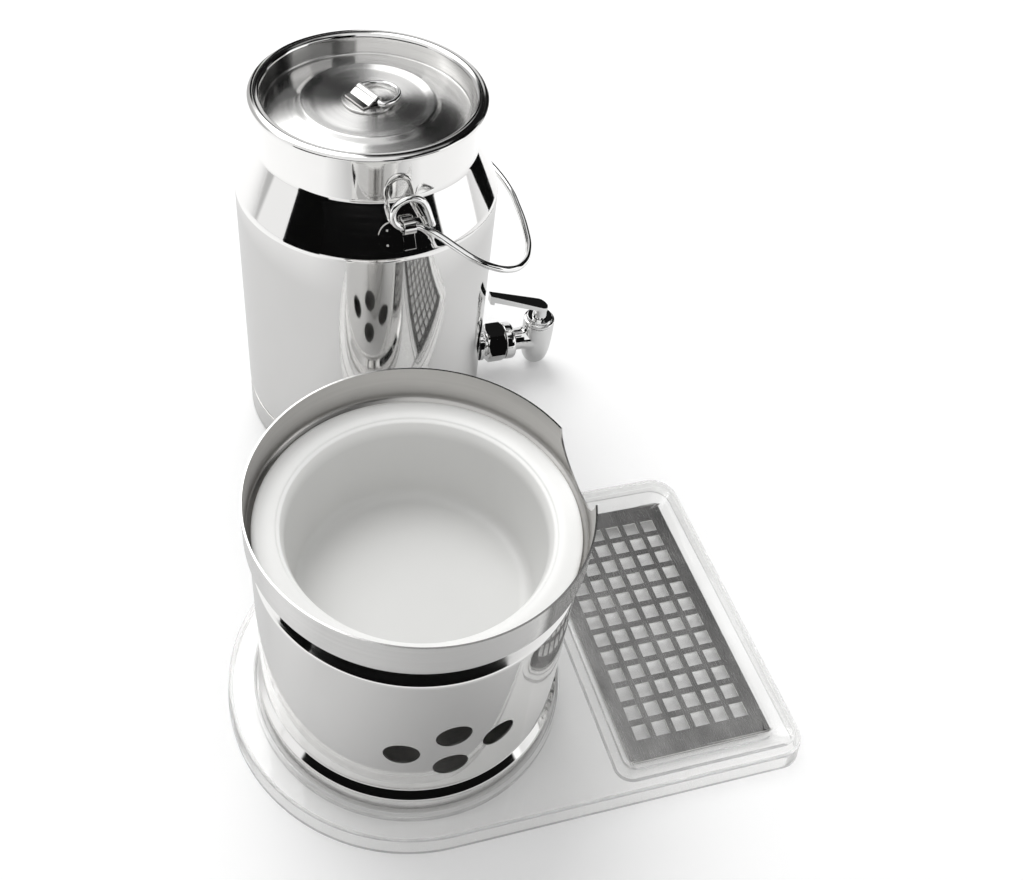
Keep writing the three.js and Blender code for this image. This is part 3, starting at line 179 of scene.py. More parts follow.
def edit_points():
    """Edits the active piece with all its points selected."""
    bpy.ops.object.mode_set(mode="EDIT")
    bpy.ops.mesh.select_mode(type="VERT")
    bpy.ops.mesh.select_all(action="SELECT")


def pick(test, kind="VERT"):
    """Selects the edited piece's points, edges or faces that pass a test, which is given the middle
    and, of an edge, the edge itself or, of a face, its direction."""
    piece = bpy.context.object
    bpy.ops.mesh.select_mode(type=kind)
    bpy.ops.mesh.select_all(action="DESELECT")
    mesh = bmesh.from_edit_mesh(piece.data)
    place = piece.matrix_world
    turn = place.to_3x3()
    if kind == "FACE":
        for face in mesh.faces:
            face.select_set(test(place @ face.calc_center_median(), turn @ face.normal))
    elif kind == "EDGE":
        for edge in mesh.edges:
            middle = place @ ((edge.verts[0].co + edge.verts[1].co) / 2)
            edge.select_set(test(middle, edge))
    else:
        for vertex in mesh.verts:
            vertex.select_set(test(place @ vertex.co))
    mesh.select_flush_mode()
    bmesh.update_edit_mesh(piece.data)


def apply_modifier(piece, kind, **settings):
    """Gives a piece a modifier and applies it."""
    take(piece)
    modifier = piece.modifiers.new(kind.title(), kind)
    for key, value in settings.items():
        setattr(modifier, key, value)
    bpy.ops.object.modifier_apply(modifier=modifier.name)


def wall(piece, thickness):
    """Thickens a sheet inwards."""
    apply_modifier(piece, "SOLIDIFY", thickness=thickness, offset=-1, use_even_offset=True)


def soften(piece, width, angle, segments=2):
    """Rounds a piece's edges by a width in millimetres, where they turn by more than an angle."""
    apply_modifier(
        piece, "BEVEL", width=width * MM, segments=segments,
        limit_method="ANGLE", angle_limit=math.radians(angle),
    )


def combine(piece, tool, operation):
    """Joins, cuts or crosses a piece with a tool, which is used up."""
    apply_modifier(piece, "BOOLEAN", operation=operation, solver="EXACT", object=tool)
    bpy.data.objects.remove(tool, do_unlink=True)


def moved(place, turn=0, axis="Z"):
    """A move to a place after a turn about an axis."""
    return Matrix.Translation(place) @ Matrix.Rotation(turn, 4, axis)


def place_mesh(piece, place=None):
    """Puts a piece's place into its mesh, moved by a matrix where one is given."""
    take(piece)
    if place is not None:
        piece.matrix_world = place @ piece.matrix_world
        bpy.context.view_layer.update()
    bpy.ops.object.transform_apply(location=True, rotation=True, scale=True)


def paint(piece, index, test):
    """Gives the faces that pass a test one of the piece's finishes."""
    take(piece)
    bpy.ops.object.mode_set(mode="EDIT")
    pick(test, "FACE")
    piece.active_material_index = index
    bpy.ops.object.material_slot_assign()
    bpy.ops.object.mode_set(mode="OBJECT")


def finish_piece(piece, name, body, material, nodes, angle=30):
    """Names and smooths a piece, gives it its finish, and hides the CAD nodes it stands for."""
    place_mesh(piece)
    bpy.ops.object.shade_smooth_by_angle(angle=math.radians(angle))
    apply_modifier(piece, "WEIGHTED_NORMAL", keep_sharp=True)
    piece.name = name
    piece.data.name = name
    if material is not None:
        piece.data.materials.clear()
        piece.data.materials.append(material)
    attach(piece, body)
    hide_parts(*nodes)


# Forms


def close_up(fill):
    """Merges the edited mesh's doubles, fills its ends if asked and turns its faces outwards."""
    bpy.ops.mesh.select_mode(type="VERT")
    bpy.ops.mesh.select_all(action="SELECT")
    bpy.ops.mesh.remove_doubles(threshold=MERGE)
    if fill:
        bpy.ops.mesh.fill_holes(sides=0)
    bpy.ops.mesh.select_all(action="SELECT")
    bpy.ops.mesh.normals_make_consistent(inside=False)
    bpy.ops.object.mode_set(mode="OBJECT")


def face_up(piece):
    """Turns an open sheet's faces so that they look upwards on the whole."""
    take(piece)
    edit_points()
    mesh = bmesh.from_edit_mesh(piece.data)
    mesh.normal_update()
    if sum(face.normal.z * face.calc_area() for face in mesh.faces) < 0:
        bpy.ops.mesh.flip_normals()
    bpy.ops.object.mode_set(mode="OBJECT")


def turned(centre, rings, steps=FITTING_STEPS, lying=False, fill=False):
    """A round body: a circle drawn out ring by ring. Rings are (radius, height) in millimetres from
    the centre, along Z, or along X where the body lies."""
    deselect_all()
    along = Vector((1, 0, 0)) if lying else Vector((0, 0, 1))
    centre = Vector(centre)
    radius, height = rings[0]
    bpy.ops.mesh.primitive_circle_add(
        vertices=steps,
        radius=radius * MM,
        location=centre + along * height * MM,
        rotation=(0, QUARTER, 0) if lying else (0, 0, 0),
    )
    piece = bpy.context.object
    edit_points()
    for next_radius, next_height in rings[1:]:
        bpy.ops.mesh.extrude_region_move(
            TRANSFORM_OT_translate={"value": along * (next_height - height) * MM}
        )
        scale = next_radius / radius
        bpy.ops.transform.resize(
            value=(1, scale, scale) if lying else (scale, scale, 1),
            center_override=centre + along * next_height * MM,
        )
        radius, height = next_radius, next_height
    close_up(fill)
    return piece


def ring_of(centre, rings, steps=FITTING_STEPS, lying=False):
    """A round body whose outline closes on itself."""
    return turned(centre, [*rings, rings[0]], steps, lying)


def hoop(centre, inner, outer, start, end, steps=FITTING_STEPS, lying=False):
    """A ring with a rectangular section."""
    section = [(inner, start), (outer, start), (outer, end), (inner, end)]
    return ring_of(centre, section, steps, lying)


def rod(centre, radius, start, end, steps=FITTING_STEPS, lying=False):
    """A round bar, mostly a tool for cutting."""
    return turned(centre, [(radius, start), (radius, end)], steps, lying, fill=True)


def arc(radius, start, end, steps, rise=0):
    """Points on a circle about (0, rise), at even steps from one angle to another."""
    angles = (start + (end - start) * i / steps for i in range(steps + 1))
    return [(radius * math.cos(a), rise + radius * math.sin(a)) for a in angles]


def eased(corners, steps=4):
    """Points (radius, height) through corners (radius, height, setback), each rounded over its
    setback or, where that is too long, over nearly half of the side."""
    most = 0.48
    points = []
    for i, corner in enumerate(corners):
        here = Vector(corner[:2])
        setback = corner[2] if len(corner) > 2 else 0
        if not setback or i in (0, len(corners) - 1):
            points.append(tuple(here))
            continue
        before, after = Vector(corners[i - 1][:2]), Vector(corners[i + 1][:2])
        start = here.lerp(before, min(setback / (before - here).length, most))
        end = here.lerp(after, min(setback / (after - here).length, most))
        for k in range(steps + 1):
            t = k / steps
            points.append(tuple(start * (1 - t) ** 2 + here * 2 * t * (1 - t) + end * t**2))
    return points


def levels(radius, start, end, count):
    """Rings of one radius at even heights between two others."""
    return [(radius, start + (end - start) * i / count) for i in range(1, count)]


def block(middle, half, corners, drawn, segments=12):
    """A closed block: a rectangle of half widths with the corners at its right and left rounded,
    drawn up through levels of (inset, height) in millimetres."""
    deselect_all()
    inset, height = drawn[0]
    middle = Vector((middle[0], middle[1], height * MM))
    bpy.ops.mesh.primitive_plane_add(size=2, location=middle)
    piece = bpy.context.object
    edit_points()
    wide = Vector(((half[0] - inset) * MM, (half[1] - inset) * MM, 1))
    bpy.ops.transform.resize(value=wide, center_override=middle)
    for side, radius in zip((1, -1), corners):
        if radius:
            pick(lambda point, side=side: (point.x - middle.x) * side > wide.x * 0.98)
            bpy.ops.mesh.bevel(
                offset=radius * MM, offset_type="OFFSET", segments=segments, profile=0.5,
                affect="VERTICES",
            )
    bpy.ops.mesh.select_all(action="SELECT")
    for next_inset, next_height in drawn[1:]:
        bpy.ops.mesh.extrude_region_move(
            TRANSFORM_OT_translate={"value": (0, 0, (next_height - height) * MM)}
        )
        across, along = ((width - next_inset) / (width - inset) for width in half[:2])
        bpy.ops.transform.resize(
            value=(across, along, 1), center_override=(middle.x, middle.y, next_height * MM)
        )
        inset, height = next_inset, next_height
    close_up(True)
    return piece


def strip(width, path, thickness, easing):
    """A strip of sheet folded along a path of (run, rise) in the XZ plane, in millimetres."""
    deselect_all()
    first, last = Vector(path[0]), Vector(path[1])
    middle = (first + last) / 2 * MM
    bpy.ops.mesh.primitive_plane_add(size=1)
    piece = bpy.context.object
    edit_points()
    bpy.ops.transform.resize(
        value=((last - first).length * MM, width * MM, 1), center_override=(0, 0, 0)
    )
    bpy.ops.transform.translate(value=(middle.x, 0, middle.y))
    pick(lambda point: point.x > middle.x)
    for here in path[2:]:
        step = (Vector(here) - last) * MM
        bpy.ops.mesh.extrude_region_move(TRANSFORM_OT_translate={"value": (step.x, 0, step.y)})
        last = Vector(here)
    bpy.ops.mesh.select_all(action="SELECT")
    bpy.ops.mesh.remove_doubles(threshold=MERGE)
    face_up(piece)
    apply_modifier(piece, "SOLIDIFY", thickness=thickness * MM, offset=1, use_even_offset=True)
    soften(piece, easing, 30)
    return piece


def wire(points, radius, end_round):
    """A round wire along points in millimetres, with rounded ends. Its radius is in metres."""
    deselect_all()
    bpy.ops.curve.primitive_bezier_curve_add()
    piece = bpy.context.object
    curve = piece.data
    curve.splines.clear()
    spline = curve.splines.new("BEZIER")
    spline.bezier_points.add(len(points) - 1)
    for knot, point in zip(spline.bezier_points, points):
        knot.co = point * MM
        knot.handle_left_type = knot.handle_right_type = "AUTO"
    curve.dimensions = "3D"
    curve.resolution_u = 12
    curve.bevel_depth = radius
    curve.bevel_resolution = 7
    curve.use_fill_caps = True
    curve.twist_mode = "MINIMUM"
    bpy.context.view_layer.update()
    take(piece)
    bpy.ops.object.convert(target="MESH")
    bpy.ops.object.mode_set(mode="EDIT")
    close_up(False)
    soften(piece, end_round, 60, 3)
    return piece


# Finishes


def new_finish(name, values=()):
    """An empty material with its shader, and the values of some of the shader's sockets."""
    material = bpy.data.materials.new(name)
    material.use_nodes = True
    tree = material.node_tree
    tree.nodes.clear()
    output = tree.nodes.new("ShaderNodeOutputMaterial")
    shader = tree.nodes.new("ShaderNodeBsdfPrincipled")
    tree.links.new(shader.outputs["BSDF"], output.inputs["Surface"])
    for key, value in values:
        shader.inputs[key].default_value = value
    return material, tree, shader


def add(tree, kind, *links, **settings):
    """A node with its settings, its first inputs linked to sockets, set to values or, where None,
    left as they are."""
    node = tree.nodes.new(kind)
    for key, value in settings.items():
        setattr(node, key, value)
    for i, value in enumerate(links):
        if isinstance(value, bpy.types.NodeSocket):
            tree.links.new(value, node.inputs[i])
        elif value is not None:
            node.inputs[i].default_value = value
    return node


def calculate(tree, operation, *values, **settings):
    """The result of a sum or another operation."""
    return add(tree, "ShaderNodeMath", *values, operation=operation, **settings).outputs[0]


def either_ray(tree, first, second):
    """Whether a ray is of one of two kinds."""
    path = add(tree, "ShaderNodeLightPath")
    kinds = (path.outputs[f"Is {kind} Ray"] for kind in (first, second))
    return calculate(tree, "MAXIMUM", *kinds)


def place_pattern(tree, middle, scale=(1, 1, 1)):
    """Object coordinates moved so that a pattern is centred on a point, then scaled."""
    place = add(tree, "ShaderNodeTexCoord").outputs["Object"]
    place = add(tree, "ShaderNodeVectorMath", place, tuple(middle), operation="SUBTRACT").outputs[0]
    return add(tree, "ShaderNodeVectorMath", place, scale, operation="MULTIPLY").outputs[0]


def height_above(tree, middle):
    """The height above a point."""
    return add(tree, "ShaderNodeSeparateXYZ", place_pattern(tree, middle)).outputs["Z"]


def away_from(tree, middle):
    """The distance from the upright axis through a point."""
    flat = place_pattern(tree, middle, (1, 1, 0))
    return add(tree, "ShaderNodeVectorMath", flat, operation="LENGTH").outputs["Value"]


def noise(tree, vector, scale, detail=2.0, roughness=0.5):
    """A noise's value."""
    node = add(tree, "ShaderNodeTexNoise", vector)
    node.inputs["Scale"].default_value = scale
    node.inputs["Detail"].default_value = detail
    node.inputs["Roughness"].default_value = roughness
    return node.outputs["Fac"]


def marks(tree, middle, scale, detail=2.0, stretch=(1, 1, 1), roughness=0.5):
    """A noise centred on a point, with its coordinates stretched."""
    return noise(tree, place_pattern(tree, middle, stretch), scale, detail, roughness)


def between(tree, value, low, high, start=0.3, end=0.7, **settings):
    """A value spread between two others."""
    spread = add(tree, "ShaderNodeMapRange", value, start, end, low, high, **settings)
    return spread.outputs["Result"]


def tint(tree, value, colour, dark):
    """A colour that a value darkens slightly."""
    ramp = add(tree, "ShaderNodeMix", data_type="RGBA")
    tree.links.new(value, ramp.inputs["Factor"])
    ramp.inputs["A"].default_value = (*(c * dark for c in colour), 1)
    ramp.inputs["B"].default_value = (*colour, 1)
    return ramp.outputs["Result"]


def dress(tree, shader, colour, roughness, height, strength, distance):
    """Links a shader's colour and roughness, and its bump from a height."""
    bump = add(tree, "ShaderNodeBump")
    bump.inputs["Strength"].default_value = strength
    bump.inputs["Distance"].default_value = distance
    tree.links.new(height, bump.inputs["Height"])
    tree.links.new(bump.outputs["Normal"], shader.inputs["Normal"])
    tree.links.new(colour, shader.inputs["Base Color"])
    tree.links.new(roughness, shader.inputs["Roughness"])


def mirror_sheet(name, colour, middle):
    """Mirror-polished sheet: faint polishing lines round the axis and a slight wave."""
    material, tree, shader = new_finish(name, [("Metallic", 1)])
    cloud = between(tree, marks(tree, middle, 14.0, 3, (1, 1, 0.6)), 0, 1)
    lines = marks(tree, middle, 1.0, 3, (18, 18, 900))
    wave = marks(tree, middle, 16.0, 1, (1, 1, 0.35))
    base = tint(tree, cloud, colour, 0.97)
    dress(tree, shader, base, between(tree, lines, 0.035, 0.075), wave, 0.12, 0.0006)
    return material


def round_brushed(name, colour, middle, roughness, strength, spin):
    """Steel brushed in circles about an axis: fine rings and soft cloudy streaks along them."""
    material, tree, shader = new_finish(
        name, [("Metallic", 1), ("Anisotropic", spin), ("Anisotropic Rotation", 0.25)]
    )
    across = calculate(tree, "ADD", away_from(tree, middle), height_above(tree, middle))
    drawn = []
    for fineness, shortness in ((6000.0, 25), (500.0, 12)):
        rings = calculate(tree, "MULTIPLY", across, fineness)
        along = add(
            tree, "ShaderNodeSeparateXYZ", place_pattern(tree, middle, (shortness,) * 3)
        ).outputs
        place = add(tree, "ShaderNodeCombineXYZ", rings, along["X"], along["Y"]).outputs[0]
        drawn.append(noise(tree, place, 1.0, 3, 0.6))
    grain, streak = drawn
    tangent = add(tree, "ShaderNodeTangent", direction_type="RADIAL", axis="Z")
    tree.links.new(tangent.outputs["Tangent"], shader.inputs["Tangent"])
    base = tint(tree, between(tree, streak, 0, 1), colour, 0.92)
    rough = between(tree, streak, roughness * 0.94, roughness * 1.06)
    dress(tree, shader, base, rough, grain, strength, 0.00005)
    return material


def straight_brushed(name, colour, middle, roughness):
    """Flat steel brushed along its length, with cloudy rolling marks."""
    material, tree, shader = new_finish(name, [("Metallic", 1)])
    grain = marks(tree, middle, 1.0, 3, (5000, 90, 90), 0.6)
    cloud = between(tree, marks(tree, middle, 55.0, 3, (1, 0.6, 1)), 0, 1)
    rough = between(tree, grain, roughness * 0.93, roughness * 1.08)
    dress(tree, shader, tint(tree, cloud, colour, 0.6), rough, grain, 0.04, 0.00005)
    return material


def plated(name, colour, middle):
    """Chrome plate: a clear mirror with a trace of casting wave."""
    material, tree, shader = new_finish(name, [("Metallic", 1)])
    cloud = marks(tree, middle, 60.0)
    base = tint(tree, between(tree, cloud, 0, 1), colour, 0.97)
    wave = marks(tree, middle, 120.0, 1)
    dress(tree, shader, base, between(tree, cloud, 0.02, 0.06), wave, 0.08, 0.0002)
    return material


def clear_moulding(name, colour, middle):
    """Clear plastic, slightly cloudy, that lets light through to the floor below."""
    material, tree, shader = new_finish(name, [("Transmission Weight", 0.8), ("IOR", 1.45)])
    cloud = marks(tree, middle, 20.0, 3)
    base = tint(tree, between(tree, cloud, 0, 1), colour, 0.98)
    wave = marks(tree, middle, 60.0)
    dress(tree, shader, base, between(tree, cloud, 0.02, 0.07), wave, 0.006, 0.0003)
    share = calculate(tree, "MULTIPLY", either_ray(tree, "Shadow", "Diffuse"), 0.85)
    clear = add(tree, "ShaderNodeBsdfTransparent")
    mix = add(tree, "ShaderNodeMixShader", share, shader.outputs["BSDF"], clear.outputs["BSDF"])
    output = next(node for node in tree.nodes if node.type == "OUTPUT_MATERIAL")
    tree.links.new(mix.outputs["Shader"], output.inputs["Surface"])
    return material


def satin_moulding(name, colour, middle):
    """White plastic with a satin skin and painted shade that darkens its colour with depth below
    the rim.
    """
    material, tree, shader = new_finish(name)
    cloud = marks(tree, middle, 18.0, 3)
    # Painted shade: the colour darkens from 2.5 mm to 12 mm below the rim, standing in for the
    # shade inside the basin
    painted_depth_shade = between(tree, height_above(tree, middle), 0.0, 1.0, -0.012, -0.0025)
    blend = add(tree, "ShaderNodeMix", data_type="RGBA", blend_type="MULTIPLY")
    blend.inputs["Factor"].default_value = 1
    tree.links.new(tint(tree, painted_depth_shade, colour, 0.78), blend.inputs["A"])
    tree.links.new(tint(tree, between(tree, cloud, 0, 1), (1, 1, 1), 0.975), blend.inputs["B"])
    skin = marks(tree, middle, 900.0)
    base = blend.outputs["Result"]
    dress(tree, shader, base, between(tree, cloud, 0.3, 0.4), skin, 0.1, 0.0001)
    return material


def matt(name, colour, middle):
    """A matt finish with a fine grain."""
    material, tree, shader = new_finish(name)
    grain = marks(tree, middle, 1400.0)
    base = tint(tree, grain, colour, 0.7)
    dress(tree, shader, base, between(tree, grain, 0.6, 0.8), grain, 0.3, 0.0001)
    return material


def repaint(node, material):
    """Gives a CAD node a finish."""
    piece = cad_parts[node]
    for i in range(len(piece.material_slots)):
        piece.material_slots[i].material = material
    if not piece.material_slots:
        piece.data.materials.append(material)


# Operators: one for each group of pieces


class DISPENSER_OT_tray(bpy.types.Operator):
    """Models the clear tray with its round seat and its recess for the drip grille"""

    bl_idname = "dispenser.tray"
    bl_label = "Tray"
    bl_options = {"REGISTER", "UNDO"}

    def execute(self, context):
        sizes, colours = choices(context)
        height, thick = sizes.tray_height / MM, sizes.tray_wall / MM
        middle = (TRAY_LOW + TRAY_HIGH) / 2
        half = (TRAY_HIGH - TRAY_LOW) / 2 / MM
        corner, round_end = 16, half.y - 0.05
        draft, rounding = 1.3, 2.0
        edge = [
            (draft + rounding - run, rise)
            for run, rise in arc(rounding, 0, QUARTER, 6, height - rounding)
        ]
        tray = block(middle, half, (corner, round_end), [(0, 0), *edge], 40)
        inside = [(thick, -3), (thick + draft, height - thick)]
        hollow = block(middle, half, (corner - 2, round_end - thick), inside, 40)
        combine(tray, hollow, "DIFFERENCE")

        seat = Vector((STAND_FOOT.x, STAND_FOOT.y, 0))
        seat_radius = sizes.stand_radius / MM + 1.2
        seat_floor = STAND_FOOT.z / MM - CLEARANCE
        skin = thick / 2
        cup = rod(seat, seat_radius + thick, seat_floor - thick, height - skin, WALL_STEPS)
        combine(tray, cup, "UNION")
        rib = hoop(
            seat, seat_radius - 11.2, seat_radius - 7.2, 0, seat_floor - skin, WALL_STEPS
        )
        combine(tray, rib, "UNION")

        ledge, pocket_floor, above = 8.0, 3.5, height + 3
        grille = (GRILLE_HIGH - GRILLE_LOW) / 2 / MM
        flare_run = 10
        flare = ((0, 0), (0.07, 0.12), (0.2, 0.28), (0.55, 0.52), (0.85, 0.78), (1, 1))
        mouth = (grille.x + 1 + flare_run, grille.y + 1 + flare_run)
        pocket = (grille.x - 4.5, grille.y - 4.5)

        def recess(spread, base, top):
            """The recess drawn up from its ledge, spread by a wall's thickness."""
            return [
                (flare_run * (1 - out) - spread, base + up * (top - base)) for out, up in flare
            ]

        cup = block(
            GRILLE_MIDDLE, mouth, (9, 9), recess(thick, ledge - thick, height - skin), 8
        )
        combine(tray, cup, "UNION")
        cup = block(
            GRILLE_MIDDLE, (pocket[0] + thick, pocket[1] + thick), (5, 5),
            [(0, pocket_floor - thick), (0, ledge - skin)], 6,
        )
        combine(tray, cup, "UNION")

        lip = seat_radius + 1.4
        bowl = turned(
            seat,
            [
                (seat_radius, seat_floor), (seat_radius, height - 1.4),
                (seat_radius + 0.45, height - 0.6), (lip, height), (lip, above),
            ],
            WALL_STEPS, fill=True,
        )
        combine(tray, bowl, "DIFFERENCE")
        hollow = block(
            GRILLE_MIDDLE, mouth, (7.6, 7.6), [*recess(0, ledge, height), (0, above)], 8
        )
        combine(tray, hollow, "DIFFERENCE")
        drawn = [(0, pocket_floor), (0, ledge + 3)]
        hollow = block(GRILLE_MIDDLE, pocket, (2.6, 2.6), drawn, 6)
        combine(tray, hollow, "DIFFERENCE")
        finish = clear_moulding("clear_tray_plastic", colours.clear, middle)
        finish_piece(tray, "moulded_tray", "tray", finish, ["base_tray"], angle=18)
        return {"FINISHED"}


class DISPENSER_OT_grille(bpy.types.Operator):
    """Models the drip grille: a plate with rows of square holes"""

    bl_idname = "dispenser.grille"
    bl_label = "Drip grille"
    bl_options = {"REGISTER", "UNDO"}

    def execute(self, context):
        sizes, colours = choices(context)
        hole = sizes.grille_hole
        pitch, count = Vector((12.8, 13.0)) * MM, (6, 12)
        near = MM / 10
        top = GRILLE_HIGH.z
        half = (GRILLE_HIGH - GRILLE_LOW) / 2
        first = Vector((
            GRILLE_MIDDLE.x - pitch.x * (count[0] - 1) / 2,
            GRILLE_MIDDLE.y - pitch.y * (count[1] - 1) / 2,
            top,
        ))
        deselect_all()
        bpy.ops.mesh.primitive_plane_add(size=1, location=first)
        grille = bpy.context.object
        edit_points()
        bpy.ops.transform.resize(value=(pitch.x, pitch.y, 1), center_override=first)
        bpy.ops.mesh.inset(thickness=(pitch.x - hole) / 2)
        bpy.ops.transform.resize(
            value=(1, hole / (pitch.y - pitch.x + hole), 1), center_override=first
        )
        bpy.ops.mesh.delete(type="FACE")
        place_mesh(grille)
        for axis, number in enumerate(count):
            step = [0, 0, 0]
            step[axis] = pitch[axis]
            apply_modifier(
                grille, "ARRAY", count=number, use_relative_offset=False,
                use_constant_offset=True, constant_offset_displace=step,
                use_merge_vertices=True, merge_threshold=MERGE * 10,
            )
        bpy.ops.object.mode_set(mode="EDIT")
        inner = (pitch.x * count[0] / 2, pitch.y * count[1] / 2)

        def on_rim(point, edge):
            """The edge lies on the outer border of the field of holes."""
            away = point - GRILLE_MIDDLE
            return abs(abs(away.x) - inner[0]) < near or abs(abs(away.y) - inner[1]) < near

        def at_corner(point):
            """The point is a corner of the plate."""
            away = point - GRILLE_MIDDLE
            return abs(away.x) > half.x - near and abs(away.y) > half.y - near

        pick(on_rim, "EDGE")
        bpy.ops.mesh.extrude_region_move(TRANSFORM_OT_translate={"value": (0, 0, 0)})
        bpy.ops.transform.resize(
            value=(half.x / inner[0], half.y / inner[1], 1),
            center_override=(*GRILLE_MIDDLE.xy, top),
        )
        pick(at_corner)
        bpy.ops.mesh.bevel(offset=2 * MM, segments=5, profile=0.5, affect="VERTICES")
        close_up(False)
        face_up(grille)
        wall(grille, sizes.grille_thickness)
        soften(grille, 0.42, 60)
        finish = straight_brushed("brushed_grille_steel", colours.satin, GRILLE_MIDDLE, 0.26)
        finish_piece(grille, "drip_grille_plate", "grille", finish, ["drip_grille"])
        # Painted highlight: the hole walls and plate edges get a matt white finish that shows as
        # bright edge lines
        grille.data.materials.append(matt("painted_highlight_edges", colours.white, GRILLE_MIDDLE))
        paint(grille, 1, lambda point, normal: abs(normal.z) < 0.93)
        return {"FINISHED"}


class DISPENSER_OT_stand(bpy.types.Operator):
    """Models the drum stand with its grooves, its collar's notch and its round vents"""

    bl_idname = "dispenser.stand"
    bl_label = "Stand"
    bl_options = {"REGISTER", "UNDO"}

    def execute(self, context):
        sizes, colours = choices(context)
        radius, top = sizes.stand_radius / MM, sizes.stand_height / MM
        side, side_start, side_end = radius - 2.5, 26.5, 133.8
        outline = eased([
            (radius, 0),
            (radius, 15.8, 1.2),
            (radius - 4.6, 21.6, 1.2),
            (side, side_start, 1.8),
            (side, side_end, 1.2),
            (radius - 8.6, 143.5, 2.2),
            (radius, 151, 1.8),
            (radius, top),
        ], 5)
        first = next(
            i for i, (out, up) in enumerate(outline) if up > side_start and out >= side - 0.01
        )
        start, end = outline[first][1], outline[first + 1][1]
        outline[first + 1:first + 1] = levels(side, start, end, 26)
        last = outline.pop()
        outline += [*levels(radius, outline[-1][1], last[1], 6), last]
        drum = turned(STAND_FOOT, outline, WALL_STEPS)
        wall(drum, sizes.sheet)
        cut_start, cut_end = radius / 2, radius + 3
        notch_axis = STAND_FOOT + Vector((0, 0, sizes.stand_height + 5.3 * MM))
        notch = rod(notch_axis, sizes.notch_radius / MM, cut_start, cut_end, 96, lying=True)
        combine(drum, notch, "DIFFERENCE")
        vents_height, vent_across, vent_rise = 66, 27, 15.4
        for facing in (-QUARTER, QUARTER):
            for across, rise in ((-1, 0), (1, 0), (0, 1), (0, -1)):
                vent = rod(
                    (0, 0, 0), sizes.vent_radius / MM, cut_start, cut_end, 48, lying=True
                )
                height = Vector((0, 0, (vents_height + rise * vent_rise) * MM))
                turn = facing + across * vent_across / side
                place_mesh(vent, moved(STAND_FOOT + height, turn))
                combine(drum, vent, "DIFFERENCE")
        place_mesh(drum)
        for finish in (
            mirror_sheet("polished_stand_steel", colours.polished, STAND_FOOT),
            round_brushed("satin_band_steel", colours.polished, STAND_FOOT, 0.14, 0.12, 0.5),
            round_brushed("brushed_collar_steel", colours.dull_and_painted_shade, STAND_FOOT, 0.3, 0.3, 0.6),
        ):
            drum.data.materials.append(finish)

        def is_inner(point, normal):
            """The face belongs to the drum's inner side."""
            away = point - STAND_FOOT
            return normal.x * away.x + normal.y * away.y < 0

        def is_band(point, normal):
            """The face belongs to the outer side of the foot or the collar."""
            height = (point.z - STAND_FOOT.z) / MM
            return not is_inner(point, normal) and not 15.7 < height < 151.5

        # The inner side gets the darker collar finish, which is partly painted shade inside the
        # drum
        paint(drum, 2, is_inner)
        paint(drum, 1, is_band)
        finish_piece(drum, "stand_shell", "stand", None, ["stand_drum"])
        plate = round_brushed("brushed_plate_steel", colours.satin, STAND_FOOT, 0.3, 0.3, 0.6)
        repaint("stand_bottom_plate", plate)
        return {"FINISHED"}


class DISPENSER_OT_basin(bpy.types.Operator):
    """Models the white ice basin that lies in the stand's collar"""

    bl_idname = "dispenser.basin"
    bl_label = "Ice basin"
    bl_options = {"REGISTER", "UNDO"}

    def execute(self, context):
        sizes, colours = choices(context)
        depth = sizes.basin_depth / MM
        rim = sizes.stand_radius / MM - 3.8
        centre = Vector((STAND_FOOT.x, STAND_FOOT.y, BASIN_TOP))
        outline = eased([
            (rim, -1.9),
            (rim - 0.3, -0.6, 0.6),
            (rim - 1.8, 0, 1.2),
            (rim - 9.6, 0, 2),
            (rim - 12.4, -0.8, 0.9),
            (rim - 12.9, -1.7, 0.5),
            (rim - 14.7, -2.6, 0.8),
            (rim - 16.7, -8, 2),
            (rim - 20.2, -depth, 7),
            (8, -depth),
        ], 5)
        basin = turned(centre, [*outline, (0, -depth)], WALL_STEPS)
        face_up(basin)
        wall(basin, 2 * MM)
        soften(basin, 0.5, 50)
        finish = satin_moulding("white_basin_plastic", colours.white, centre)
        finish_piece(basin, "ice_bowl", "basin", finish, ["ice_basin"])
        return {"FINISHED"}


class DISPENSER_OT_churn(bpy.types.Operator):
    """Models the churn's drawn body with shoulder, neck and rim, and its foot band"""

    bl_idname = "dispenser.churn"
    bl_label = "Churn"
    bl_options = {"REGISTER", "UNDO"}

    def execute(self, context):
        sizes, colours = choices(context)
        radius, shoulder = sizes.churn_radius / MM, sizes.shoulder_height / MM
        foot, floor = radius - 1.3, 5
        neck = radius - sizes.shoulder_run / MM
        neck_start = shoulder + sizes.shoulder_rise / MM
        neck_end = neck_start + sizes.neck_length / MM
        outline = eased([
            (neck + 3, neck_end + 3.3),
            (neck, neck_end, 1.2),
            (neck, neck_start, 2.4),
            (radius, shoulder, 2.4),
            (radius, 24.5, 0.6),
            (foot, 21.5),
            (foot, floor, 7),
            (8, floor),
        ], 6)
        body = turned(CHURN_FOOT, [*outline, (0, floor)], WALL_STEPS)
        wall(body, sizes.sheet)
        tap_axis = Vector((CHURN_FOOT.x, TAP_AXIS.y, TAP_AXIS.z))
        combine(body, rod(tap_axis, 6.1, radius / 2, radius + 3, 48, lying=True), "DIFFERENCE")
        finish = mirror_sheet("polished_churn_steel", colours.polished, CHURN_FOOT)
        finish_piece(body, "churn_shell", "churn", finish, ["churn_body"])
        outline = eased([(radius, 21.2), (radius, 0, 1.4), (radius - 6, 0)])
        band = turned(CHURN_FOOT, outline, WALL_STEPS)
        wall(band, sizes.sheet)
        finish = round_brushed("satin_foot_steel", colours.polished, CHURN_FOOT, 0.16, 0.12, 0.5)
        finish_piece(band, "churn_foot_band", "churn", finish, ["churn_foot_ring"])
        return {"FINISHED"}


